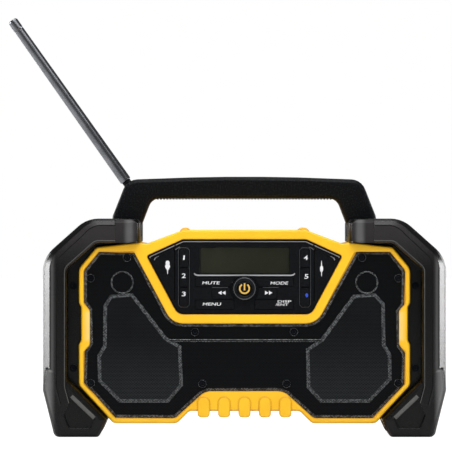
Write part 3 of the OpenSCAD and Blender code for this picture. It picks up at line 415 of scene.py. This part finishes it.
yellow_plastic = yellow_moulding()
black_plastic = moulded("black_plastic", "0C0E11", "26282C", "090B0E", 0.34, 0.6 * MM, specular=0.08)
handle_plastic = moulded("handle_plastic", "0C0E10", "3A3C3F", "090B0D", 0.3, 1.4 * MM, specular=0.08,
                         grain=0.6 * MM)
rail_rubber = rail_moulding("rail_rubber", 0.24)
bridge_rubber = rail_moulding("bridge_rubber", 0.1)
aerial_cover = polished_tube()
# Near-black grip rubber tinted brown: a painted reflection of the yellow body.
grip_rubber = moulded("grip_rubber", "2A1F1B", "4A3C36", "1E1613", 0.6, 0.4 * MM, specular=0.15,
                      grain=0.5 * MM, depth=0.05 * MM)
key_rubber = moulded("key_rubber", "0B0D10", "2C2E32", "090A0D", 0.42, 0.6 * MM, specular=0.08)
# Near-black rubber for beads that paint shade in the rails' creases and gaps.
shade_rubber = moulded("shade_rubber", "0C0C0C", "202020", "080808", 0.7, 0.3 * MM, specular=0.1,
                      grain=0.5 * MM, depth=0.04 * MM)
knob_plastic = moulded("knob_plastic", "0C0E11", "2A2C30", "090B0E", 0.26, 0.8 * MM, specular=0.15,
                       depth=POLISHED_DEPTH)
# Pale grey for beads that paint highlights on lips and tabs.
lip_highlight_plastic = moulded("lip_highlight_plastic", "9EA0A4", "C4C6CA", "8E9094", 0.25, 0.4 * MM, specular=0.6,
                      depth=POLISHED_DEPTH)
# Mid grey for beads that paint highlights on edges, frames and the knob's rim.
grey_highlight_plastic = moulded("grey_highlight_plastic", "505256", "808286", "45474A", 0.25, 0.4 * MM, specular=0.6,
                       depth=POLISHED_DEPTH)
# Grey rubber for beads that paint highlights on the rails.
highlight_rubber = moulded("highlight_rubber", "565654", "747472", "4A4A48", 0.4, 0.4 * MM, specular=0.4)
driver_paper = moulded("driver_paper", "1B1B1D", "38383A", "141416", 0.8, 0.4 * MM,
                       grain=0.8 * MM, depth=0.1 * MM)
circuit_board = moulded("circuit_board", "1C5B37", "3D8A5E", "164A2C", 0.5, 0.3 * MM,
                        grain=0.8 * MM, depth=0.04 * MM)
driver_frame = metal("driver_frame", "55585C", "8A8E92", "46494D", 0.5, (1, 1, 1), 0.4 * MM)
magnet_steel = metal("magnet_steel", "9A9CA0", "C4C6CA", "85878B", 0.38, (1, 8, 1), 0.4 * MM)
bright_metal = metal("bright_metal", "C9CBCF", "E6E8EC", "B4B6BA", 0.25, (1, 1, 6), 0.3 * MM)
steel_screw = metal("steel_screw", "A4A6AA", "D6D8DC", "8A8C90", 0.3, (3, 1, 3), 0.3 * MM)
black_screw = metal("black_screw", "1C1E22", "5C6068", "121417", 0.32, (3, 1, 3), 0.3 * MM)
grille_paint = perforated_sheet("grille_paint", "15171A", "0E1012", "A0A3A6")
field_paint = perforated_sheet("field_paint", "34373A", "16181A", "7C7F82")
window_glass = display_glass()
display_cells = display_face()
white_print = printed("white_print", "E9EAEC", "CFD1D4")
gold_print = printed("gold_print", "E9BC58", "DDAE48")
# The blue link mark has a painted glow.
blue_print = printed("blue_print", "2A4BC0", "1C348E", 0.3)

finish_of_slot = {
    "yellow_shell": yellow_plastic, "black_shell": black_plastic, "grille_metal": grille_paint,
    "rail_rubber": rail_rubber, "grip_rubber": grip_rubber, "aerial_cover": aerial_cover,
    "key_rubber": key_rubber, "knob": knob_plastic, "lens": window_glass, "display": display_cells,
    "driver_paper": driver_paper, "driver_frame": driver_frame, "magnet": magnet_steel,
    "board": circuit_board, "bright_metal": bright_metal, "steel_fasteners": steel_screw,
    "black_screws": black_screw,
}


def wear_finish(piece, material):
    piece.data.materials.clear()
    piece.data.materials.append(material)


for name, node in nodes.items():
    wear_finish(node, finish_of_slot.get(slots.get(name), black_plastic))


# ---- making pieces ----

DOUBLE = 0.005 * MM


def alone(*pieces):
    """Selects only these pieces."""
    bpy.ops.object.select_all(action="DESELECT")
    for piece in pieces:
        piece.select_set(True)
    bpy.context.view_layer.objects.active = pieces[0]


def edit(piece):
    """Opens the piece in edit mode with all of it selected."""
    alone(piece)
    bpy.ops.object.mode_set(mode="EDIT")
    bpy.ops.mesh.select_all(action="SELECT")


def finish_edit():
    bpy.ops.object.mode_set(mode="OBJECT")


def close_seams(piece):
    """Merges doubled corners and turns the faces one way."""
    edit(piece)
    bpy.ops.mesh.remove_doubles(threshold=DOUBLE)
    bpy.ops.mesh.normals_make_consistent(inside=False)
    finish_edit()


def apply_place(*pieces):
    """Moves the pieces' places, turns and scales into their meshes."""
    alone(*pieces)
    bpy.ops.object.transform_apply(location=True, rotation=True, scale=True)


def apply_modifier(piece, kind, **settings):
    made = piece.modifiers.new(kind.lower(), kind)
    for key, value in settings.items():
        setattr(made, key, value)
    alone(piece)
    bpy.ops.object.modifier_apply(modifier=made.name)


def shade(piece, smooth):
    """Smooth shading over edges below that angle, with the large faces kept flat."""
    alone(piece)
    bpy.ops.object.shade_smooth_by_angle(angle=math.radians(smooth))
    apply_modifier(piece, "WEIGHTED_NORMAL", keep_sharp=True, weight=80)


def settle(piece, material, body, smooth=35):
    """Applies the piece's place, closes its seams and rides it on its body."""
    apply_place(piece)
    close_seams(piece)
    shade(piece, smooth)
    wear_finish(piece, material)
    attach(piece, body)


def softened(name, width, segments=2, sharp=35, material=None):
    """A merged copy of a CAD node, with its edges rolled over, that is shown in its place."""
    node = nodes[name]
    copy = bpy.data.objects.new(name + "_moulding", node.data.copy())
    bpy.context.scene.collection.objects.link(copy)
    edit(copy)
    bpy.ops.mesh.remove_doubles(threshold=DOUBLE)
    bpy.ops.mesh.dissolve_limited(angle_limit=math.radians(0.6))
    finish_edit()
    apply_modifier(copy, "BEVEL", width=width, segments=segments, limit_method="ANGLE",
                   angle_limit=math.radians(sharp), use_clamp_overlap=True)
    shade(copy, 38)
    wear_finish(copy, material or finish_of_slot[slots[name]])
    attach(copy, node["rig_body"])
    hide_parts(name)


def middle(name):
    """The middle of a CAD node's box."""
    low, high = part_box(name)
    return (low + high) / 2


def span(line):
    """The width of a line of (x, z) points."""
    return max(x for x, z in line) - min(x for x, z in line)


def spaced(line, gap):
    """The closed line without points that are nearer to the one before than the gap."""
    kept = [line[0]]
    for point in line[1:]:
        if math.dist(point, kept[-1]) > gap and math.dist(point, kept[0]) > gap:
            kept.append(point)
    return kept


def outlines(name, depth):
    """The closed outlines of a CAD node's flat faces at that depth, as lists of (x, z), widest first."""
    shell = bmesh.new()
    shell.from_mesh(nodes[name].data)
    bmesh.ops.remove_doubles(shell, verts=shell.verts, dist=0.01 * MM)
    flat = [face for face in shell.faces
            if abs(face.normal.y) > 0.999 and abs(face.calc_center_median().y - depth) < 0.05 * MM]
    region = set(flat)
    following = {}
    for face in flat:
        for corner in face.loops:
            if sum(other in region for other in corner.edge.link_faces) == 1:
                following[corner.vert] = corner.link_loop_next.vert
    found = []
    while following:
        here = next(iter(following))
        line = []
        while here in following:
            line.append((here.co.x, here.co.z))
            here = following.pop(here)
        found.append(spaced(line, 0.15 * MM))
    shell.free()
    return sorted((line for line in found if len(line) > 2), key=span, reverse=True)


def placed(points, side=1):
    """Points (x, z) that are written in millimetres, and mirrored where side is -1."""
    return [(side * x * MM, z * MM) for x, z in points]


def circle(centre, radius, steps=64):
    turns = [math.tau * k / steps for k in range(steps)]
    return [(centre[0] + radius * math.cos(turn), centre[1] + radius * math.sin(turn)) for turn in turns]


def drawn(name, lines, depth, closed=True, **settings):
    """Lines of (x, z) points drawn as one curve at that depth and made a mesh."""
    shape = bpy.data.curves.new(name, "CURVE")
    for key, value in settings.items():
        setattr(shape, key, value)
    for points in lines:
        line = shape.splines.new("POLY")
        line.points.add(len(points) - 1)
        for spot, (x, z) in zip(line.points, points):
            spot.co = (x, z, 0, 1)
        line.use_cyclic_u = closed
    piece = bpy.data.objects.new(name, shape)
    bpy.context.scene.collection.objects.link(piece)
    piece.location = (0, depth, 0)
    piece.rotation_euler = (math.radians(90), 0, 0)
    alone(piece)
    bpy.ops.object.convert(target="MESH")
    return piece


def bead(name, line, depth, radius, closed=False):
    """Round bead along the line."""
    return drawn(name, [line], depth, closed, dimensions="3D", bevel_depth=radius, bevel_resolution=2,
                 use_fill_caps=not closed)


def trim(name, line, depth, radius, material, body="radio", closed=False, flattened=1.0):
    """Bead along the line, settled on its body. A share below 1 flattens it from front to back."""
    piece = bead(name, line, depth, radius, closed)
    piece.scale = (1, 1, flattened)
    settle(piece, material, body, 60)


def pressed_plate(name, line, foot, front, slope):
    """Sheet inside the outline, pressed forward from foot to front over a sloping edge."""
    thickness = 0.8 * MM
    steps = ((0.15, 0.1), (0.7, 0.8), (0.15, 0.1))
    piece = drawn(name, [spaced(line, slope * 1.1)], foot, dimensions="2D", fill_mode="BOTH")
    close_seams(piece)
    faces_back = piece.data.polygons[0].normal.z < 0
    edit(piece)
    if faces_back:
        bpy.ops.mesh.flip_normals()
    for share, rise in steps:
        bpy.ops.mesh.inset(thickness=slope * share, depth=(foot - front) * rise, use_boundary=True,
                           use_even_offset=False)
    bpy.ops.mesh.region_to_loop()
    bpy.ops.mesh.mark_sharp()
    finish_edit()
    apply_modifier(piece, "SOLIDIFY", thickness=thickness, offset=-1)
    return piece


# ---- housings, rails and handle ----

for name in ("front_housing", "rear_housing"):
    softened(name, 1.2 * MM, segments=3)
for name in ("front_left_rail", "front_right_rail", "rear_left_rail", "rear_right_rail"):
    softened(name, 1.4 * MM, segments=3, sharp=20)
for name in ("left_bridge", "right_bridge"):
    softened(name, 1.2 * MM, segments=3, sharp=20, material=bridge_rubber)
for name in ("handle_front", "handle_rear"):
    softened(name, 1.2 * MM, segments=3, sharp=20, material=handle_plastic)
softened("aerial_hub", 0.6 * MM)
softened("aerial_mast", 0.2 * MM, sharp=50)
softened("aerial_cap", 0.2 * MM, sharp=50)


def long_sides(line, sharp=40):
    """The two longest parts of a closed line between its sharp corners, the longest first."""
    spots = [Vector(point) for point in line]
    corners = [k for k, here in enumerate(spots)
               if (here - spots[k - 1]).angle(spots[(k + 1) % len(spots)] - here) > math.radians(sharp)]
    turned = spots[corners[0]:] + spots[:corners[0] + 1]
    ends = [k - corners[0] for k in corners] + [len(line)]
    parts = [turned[a:b + 1] for a, b in zip(ends, ends[1:])]
    parts.sort(key=lambda part: sum((b - a).length for a, b in zip(part, part[1:])), reverse=True)
    return parts[:2]


def rail_lines():
    """Dark bead of painted shade in the crease beside each front rail's chamfer, grey beads of painted
    highlight along its inner edge and on the ridge of its foot, and a dark strip of painted shade behind its
    shoulder."""
    ridge = ((197, 47), (171, 22))
    strip = ((169, 215.6), (150, 218.4), (124, 221.4))
    thick = 2.4 * MM
    for name, side in (("front_left_rail", -1), ("front_right_rail", 1)):
        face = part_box(name)[0].y
        outer, inner = long_sides(outlines(name, face)[0])
        # Painted shade in the crease and painted highlight on the inner edge.
        trim(name + "_crease", outer, face + 0.2 * MM, 0.5 * MM, shade_rubber)
        trim(name + "_inner_edge", inner, face + 0.2 * MM, 0.45 * MM, highlight_rubber)
        # Painted highlight on the foot's ridge and painted shade behind the shoulder.
        trim(name + "_foot_ridge", placed(ridge, side), face + 1.4 * MM, thick, highlight_rubber,
             flattened=0.6)
        trim(name + "_buffer", placed(strip, side), face + 22 * MM, thick, shade_rubber)


rail_lines()
softened("battery_door", 0.8 * MM)

# ---- grille ----

SHEET = 1.2 * MM
WIDEST_PERFORATION = 4 * MM

grille_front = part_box("speaker_grille")[0].y
grille_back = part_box("speaker_grille")[1].y
sheet_front = grille_back - SHEET
sheet_lines = outlines("speaker_grille", sheet_front)
edge_line = sheet_lines[0]
field_lines = sorted(sheet_lines[1:3], key=lambda points: points[0][0])
screw_holes = [line for line in sheet_lines[3:] if span(line) > WIDEST_PERFORATION]
plate = pressed_plate("grille_plate", edge_line, grille_back - 0.1 * MM, sheet_front, 3.6 * MM)
settle(plate, grille_paint, "radio", 50)
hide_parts("speaker_grille")
for side, line in zip(("left", "right"), field_lines):
    field = pressed_plate(side + "_grille_field", line, sheet_front, grille_front, 4.6 * MM)
    settle(field, field_paint, "radio", 50)


def pressed_rings():
    """Rings pressed into the sheet in front of the tweeters, and dimples round the screws."""
    ring_radius = 12.2 * MM
    dimple_radius = 4.3 * MM
    for side in ("left", "right"):
        tweeter = middle(side + "_tweeter")
        ring = circle((tweeter.x, tweeter.z), ring_radius)
        trim(side + "_tweeter_ring", ring, sheet_front, 0.8 * MM, grille_paint, closed=True)
    for k, line in enumerate(screw_holes):
        centre = [sum(point[i] for point in line) / len(line) for i in range(2)]
        dimple = circle(centre, dimple_radius, 24)
        trim("screw_dimple_%d" % (k + 1), dimple, sheet_front, 0.3 * MM, grille_paint,
             closed=True)


def grille_crease():
    """Crease across the sheet between the two fields."""
    crease = placed(((-100, 109.8), (100, 109.8)))
    trim("grille_crease", crease, sheet_front, 1.5 * MM, grille_paint, flattened=0.6)


pressed_rings()
grille_crease()

# ---- panel ----

panel_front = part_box("control_panel")[0].y
panel_edge = outlines("control_panel", panel_front + 3 * MM)[0]
softened("control_panel", 0.3 * MM)
for side in ("left", "right"):
    softened(side + "_port_door", 0.5 * MM)
for name in nodes:
    if name.endswith("_key") or name.startswith("preset_key"):
        softened(name, 0.5 * MM)
softened("volume_knob", 0.4 * MM)
softened("power_button", 0.3 * MM)


def moved_in(line, distance):
    """The closed line moved inwards by that distance."""
    spots = [Vector(point) for point in line]
    around = list(zip(spots[-1:] + spots[:-1], spots, spots[1:] + spots[:1]))
    area = sum(here.x * after.y - after.x * here.y for _, here, after in around)
    moved = []
    for before, here, after in around:
        along = (here - before).normalized() + (after - here).normalized()
        inwards = Vector((-along.y, along.x)) * math.copysign(2 * distance / along.length_squared, area)
        moved.append((here.x + inwards.x, here.y + inwards.y))
    return moved


def cut_away(piece, spot, way):
    """Cuts off what lies beyond the spot in that direction."""
    edit(piece)
    bpy.ops.mesh.bisect(plane_co=spot, plane_no=way, use_fill=True, clear_outer=True)
    finish_edit()


def panel_lip():
    """Bright bead that paints the highlight on the lip inside the panel's upper edges. Its outer parts swing
    with the port doors.
    """
    line = moved_in(panel_edge, 2.4 * MM)
    lowest = 204 * MM
    seam = 79.6 * MM
    centre_end = seam - 1.2 * MM
    door_end = seam + 0.3 * MM
    left, right, down = (-1, 0, 0), (1, 0, 0), (0, 0, -1)
    for name, body, cuts in (("panel_lip", "radio", ((-centre_end, left), (centre_end, right))),
                             ("left_door_lip", "left_port_cover", ((-door_end, right),)),
                             ("right_door_lip", "right_port_cover", ((door_end, left),))):
        piece = bead(name, line, panel_front - 0.1 * MM, 0.5 * MM, closed=True)
        apply_place(piece)
        for x, way in cuts:
            cut_away(piece, (x, 0, 0), way)
        cut_away(piece, (0, 0, lowest), down)
        settle(piece, lip_highlight_plastic, body, 60)


def cover_highlights():
    """Painted highlights: a bright bead on the finger tab at the outer corner of each port door and a grey
    bead on the roll beside the preset keys.
    """
    tab = ((103, 201.6), (102, 203.8), (100.2, 205.4), (98, 206.2))
    roll = ((79, 213.4), (76.5, 215.2), (73.5, 216.4))
    for name, side in (("left", -1), ("right", 1)):
        trim(name + "_finger_tab", placed(tab, side), panel_front, 0.5 * MM, lip_highlight_plastic,
             body=name + "_port_cover")
        trim(name + "_roll_highlight", placed(roll, side), panel_front, 0.6 * MM, grey_highlight_plastic)


def preset_frames():
    """Thin grey frames with cut corners round the two columns of preset keys, painting the highlights on
    their outlines.
    """
    low, high = 148, 215.6
    half = 6.2
    corner = 2.5
    for name, x in (("left_preset_frame", -69.2), ("right_preset_frame", 69.2)):
        line = placed(((x - half, low + corner), (x - half + corner, low), (x + half - corner, low),
                       (x + half, low + corner), (x + half, high - corner), (x + half - corner, high),
                       (x - half + corner, high), (x - half, high - corner)))
        trim(name, line, panel_front, 0.22 * MM, grey_highlight_plastic, closed=True)


def key_edges():
    """Grey beads that paint the highlights on the upper edges of the keys beside the knob."""
    for name, x, z, half in (("left_knob_line", -21, 176.4, 7.5), ("right_knob_line", 21.5, 176.4, 7.5),
                             ("left_seek_line", -28, 170.4, 9), ("right_seek_line", 30, 170.4, 9)):
        line = placed(((x - half, z), (x + half, z)))
        trim(name, line, panel_front, 0.25 * MM, grey_highlight_plastic)


def display_lip():
    """Bright bead, its ends turned up, that paints the highlight on the lip under the display."""
    low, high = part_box("display_window")
    z = low.z - 1.5 * MM
    half = high.x + 6.5 * MM
    turned_up = ((0, 2.2 * MM), (1.6 * MM, 0.6 * MM), (4 * MM, 0))
    line = [(-half + x, z + rise) for x, rise in turned_up]
    line += [(half - x, z + rise) for x, rise in reversed(turned_up)]
    trim("display_lip", line, panel_front, 0.8 * MM, lip_highlight_plastic, flattened=0.7)


def knob_ring():
    """Grey ring on the front of the knob that paints the highlight on its rim."""
    dial = middle("volume_knob")
    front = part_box("volume_knob")[0].y + 0.2 * MM
    ring = circle((dial.x, dial.z), 12.2 * MM)
    trim("knob_ring", ring, front, 0.45 * MM, grey_highlight_plastic, body="volume_dial", closed=True)


panel_lip()
cover_highlights()
preset_frames()
key_edges()
display_lip()
knob_ring()

# ---- print on keys and covers ----

LETTER_DEPTH = 0.02
LETTER_WEIGHT = 0.012
PRINT_HEIGHT = 0.05 * MM
PRINT_AHEAD = 0.04 * MM
ROUND_DOT = chr(0x2022)


def lettering(name, words, centre, width, height, depth, slant=0.0):
    """Raised print of that width and height, centred on (x, z)."""
    bpy.ops.object.text_add()
    piece = bpy.context.object
    piece.name = name
    piece.data.body = words
    piece.data.align_x = "CENTER"
    piece.data.shear = slant
    piece.data.extrude = LETTER_DEPTH
    piece.data.offset = LETTER_WEIGHT
    bpy.ops.object.convert(target="MESH")
    low = [min(v.co[i] for v in piece.data.vertices) for i in range(2)]
    high = [max(v.co[i] for v in piece.data.vertices) for i in range(2)]
    scale = (width / (high[0] - low[0]), height / (high[1] - low[1]))
    offset = [(low[i] + high[i]) / 2 * scale[i] for i in range(2)]
    piece.scale = (scale[0], scale[1], PRINT_HEIGHT / LETTER_DEPTH)
    piece.rotation_euler = (math.radians(90), 0, 0)
    piece.location = (centre[0] - offset[0], depth, centre[1] - offset[1])
    return piece


def key_print(key, name, words, x, z, width, height, slant=0.0, ink=white_print):
    """Print on the front of a key, with its place and size in millimetres."""
    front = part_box(key)[0].y - PRINT_AHEAD
    piece = lettering(name, words, (x * MM, z * MM), width * MM, height * MM, front, slant)
    settle(piece, ink, nodes[key]["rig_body"])


for number, x, z, width in ((1, -69.0, 204.4, 2.2), (2, -69.4, 183.8, 4.6), (3, -69.4, 163.0, 4.6),
                            (4, 70.0, 204.4, 4.6), (5, 70.5, 183.0, 4.6)):
    key_print("preset_key_%d" % number, "number_%d" % number, str(number), x, z, width, 5.2, slant=0.05)
for words, x, z, width in (("MUTE", -38.2, 175.6, 20.4), ("MENU", -37.2, 151.4, 21.3),
                           ("MODE", 39.7, 175.4, 20.6)):
    key = words.lower() + "_key"
    key_print(key, key + "_word", words, x, z, width, 3.4, slant=0.15)
for number, words, x, z, width in ((1, "DISP", 45.6, 154.4, 15.6), (2, "/ENT", 42.6, 150.8, 14.8)):
    key_print("enter_key", "enter_key_word_%d" % number, words, x, z, width, 2.7)


def flat_sign(name, lines, depth, body):
    """Thin flat white sign cut along the lines."""
    piece = drawn(name, lines, depth, dimensions="2D", fill_mode="BOTH", extrude=0.08 * MM)
    settle(piece, white_print, body)


def arrows(name, key, x, z, way):
    """Two arrow heads that point left, -1, or right, 1. Their middle is in millimetres."""
    half = 2.3
    length = 4.1
    gap = 0.2
    lines = []
    for start in (-length - gap, gap):
        back = x + way * start
        tip = x + way * (start + length)
        lines.append(placed(((back, z - half), (tip, z), (back, z + half))))
    flat_sign(name, lines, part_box(key)[0].y, nodes[key]["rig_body"])


def mirrored_profile(x, z, profile):
    """Outline that is the same on its left and right, from (height, half width) pairs in millimetres."""
    right = [(x + half, z + height) for height, half in profile]
    left = [(x - half, z + height) for height, half in reversed(profile)]
    return placed(right + left)


def port_signs():
    """Plug on the left port door and jack on the right one."""
    plug = ((-7.7, 0.25), (-3.2, 0.6), (-1.6, 1.7), (0.6, 2.9), (2.6, 2.6), (3.4, 1.9), (3.6, 2.3),
            (6.0, 2.3), (7.2, 1.5), (7.7, 0.6))
    jack = ((-8.9, 0.25), (-4.4, 0.5), (-2.6, 1.6), (0.2, 1.85), (2.0, 1.5), (3.2, 0.6), (8.9, 0.25))
    for side, x, z, profile in (("left", -87.7, 193.3, plug), ("right", 87.9, 192.1, jack)):
        body = nodes[side + "_port_door"]["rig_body"]
        flat_sign(side + "_port_sign", [mirrored_profile(x, z, profile)], panel_front, body)


def power_symbol():
    """Ring with a gap at the top and a bar in the gap."""
    button = middle("power_button")
    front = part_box("power_button")[0].y + 0.1 * MM
    width = 1.7 * MM
    depth = 0.8 * MM
    radius = 5.4 * MM
    half_gap = math.radians(34)
    bar_height = 8 * MM
    bar_middle = button.z + 2 * MM
    bpy.ops.object.select_all(action="DESELECT")
    bpy.ops.mesh.primitive_plane_add(size=1)
    ring = bpy.context.object
    ring.name = "power_symbol"
    edit(ring)
    bpy.ops.transform.resize(value=(width, depth, 1))
    bpy.ops.transform.translate(value=(radius, 0, 0))
    bpy.ops.mesh.spin(steps=40, angle=math.tau - 2 * half_gap, center=(0, 0, 0), axis=(0, -1, 0))
    finish_edit()
    ring.rotation_euler = (0, half_gap - math.radians(90), 0)
    ring.location = (button.x, front, button.z)
    bpy.ops.object.select_all(action="DESELECT")
    bpy.ops.mesh.primitive_cube_add(size=1, location=(button.x, front, bar_middle))
    bar = bpy.context.object
    bar.scale = (width, depth, bar_height)
    apply_place(ring, bar)
    bpy.ops.object.join()
    settle(ring, gold_print, "power_push")


arrows("seek_back_sign", "seek_back_key", -25.9, 164.3, -1)
arrows("seek_forward_sign", "seek_forward_key", 27.7, 164.3, 1)
port_signs()
power_symbol()
key_print("preset_key_6", "link_mark", ROUND_DOT, 71.0, 161.5, 3.2, 4.6, ink=blue_print)

# ---- studio ----

SOFT_LIGHT = 0.45
MIRRORED_LIGHT = 0.15


def studio():
    """White to the camera and through glass, and dimmer where it only lights or mirrors in the radio."""
    world = bpy.data.worlds.new("studio")
    bpy.context.scene.world = world
    sky = Nodes(world)
    rays = sky.node("ShaderNodeLightPath", {}, {}).outputs
    seen = Amount(sky, rays["Is Camera Ray"]).math("MAXIMUM", rays["Is Transmission Ray"])
    unseen = Amount(sky, rays["Is Glossy Ray"]) * (MIRRORED_LIGHT - SOFT_LIGHT) + SOFT_LIGHT
    level = seen + (1 - seen) * unseen
    light = sky.node("ShaderNodeBackground", {}, {"Color": (1, 1, 1, 1), "Strength": level})
    sky.node("ShaderNodeOutputWorld", {}, {"Surface": light.outputs[0]})


def lamp(name, place, aim, size, power, only_mirrored=False):
    """Soft box of that width and height, with its power in watts. It can be left out of matt surfaces."""
    data = bpy.data.lights.new(name, "AREA")
    data.shape = "RECTANGLE"
    data.size, data.size_y = size
    data.energy = power
    made = bpy.data.objects.new(name, data)
    bpy.context.scene.collection.objects.link(made)
    made.location = place
    made.visible_diffuse = not only_mirrored
    made.rotation_euler = (Vector(aim) - Vector(place)).to_track_quat("-Z", "Y").to_euler()


def floor_paper():
    """White paper that is lit by the lamps and nearly as bright as the background."""
    glowing_share = 0.8
    paper = bpy.data.materials.new("floor_paper")
    sheet = Nodes(paper)
    rays = sheet.node("ShaderNodeLightPath", {}, {}).outputs
    matt = sheet.node("ShaderNodeBsdfDiffuse", {}, {"Color": (0.85, 0.85, 0.85, 1)})
    white = sheet.node("ShaderNodeEmission", {}, {"Strength": 1.25})
    mixed = sheet.node("ShaderNodeMixShader", {}, {0: Amount(sheet, rays["Is Camera Ray"]) * glowing_share,
                                                   1: matt.outputs[0], 2: white.outputs[0]})
    sheet.node("ShaderNodeOutputMaterial", {}, {"Surface": mixed.outputs[0]})
    return paper


studio()
lamp("top_box", place=(0.0, -0.6, 1.15), aim=(0, 0, 0.2), size=(1.5, 0.5), power=6)
lamp("top_strip", place=(0.0, 0.15, 1.6), aim=(0, 0, 0.2), size=(1.3, 0.5), power=12)
lamp("front_box", place=(0.0, -1.8, 1.9), aim=(0, 0, 0.15), size=(1.4, 1.0), power=17.5)
for side in (-1, 1):
    flank = (side * 0.2, 0, 0.12)
    lamp("side_strip", place=(side * 2.0, 0.15, 0.2), aim=flank, size=(0.6, 1.0), power=42,
         only_mirrored=True)
    lamp("side_fill", place=(side * 2.0, 0.15, 0.25), aim=flank, size=(0.6, 1.0), power=18)
    lamp("rim_strip", place=(side * 1.3, 1.6, 0.3), aim=flank, size=(0.8, 1.0), power=9)

FLOOR_SIZE = 30.0
FLOOR_DROP = 0.4 * MM

bpy.ops.mesh.primitive_plane_add(size=FLOOR_SIZE, location=(0, 0, -FLOOR_DROP))
floor = bpy.context.object
floor.name = "floor"
wear_finish(floor, floor_paper())
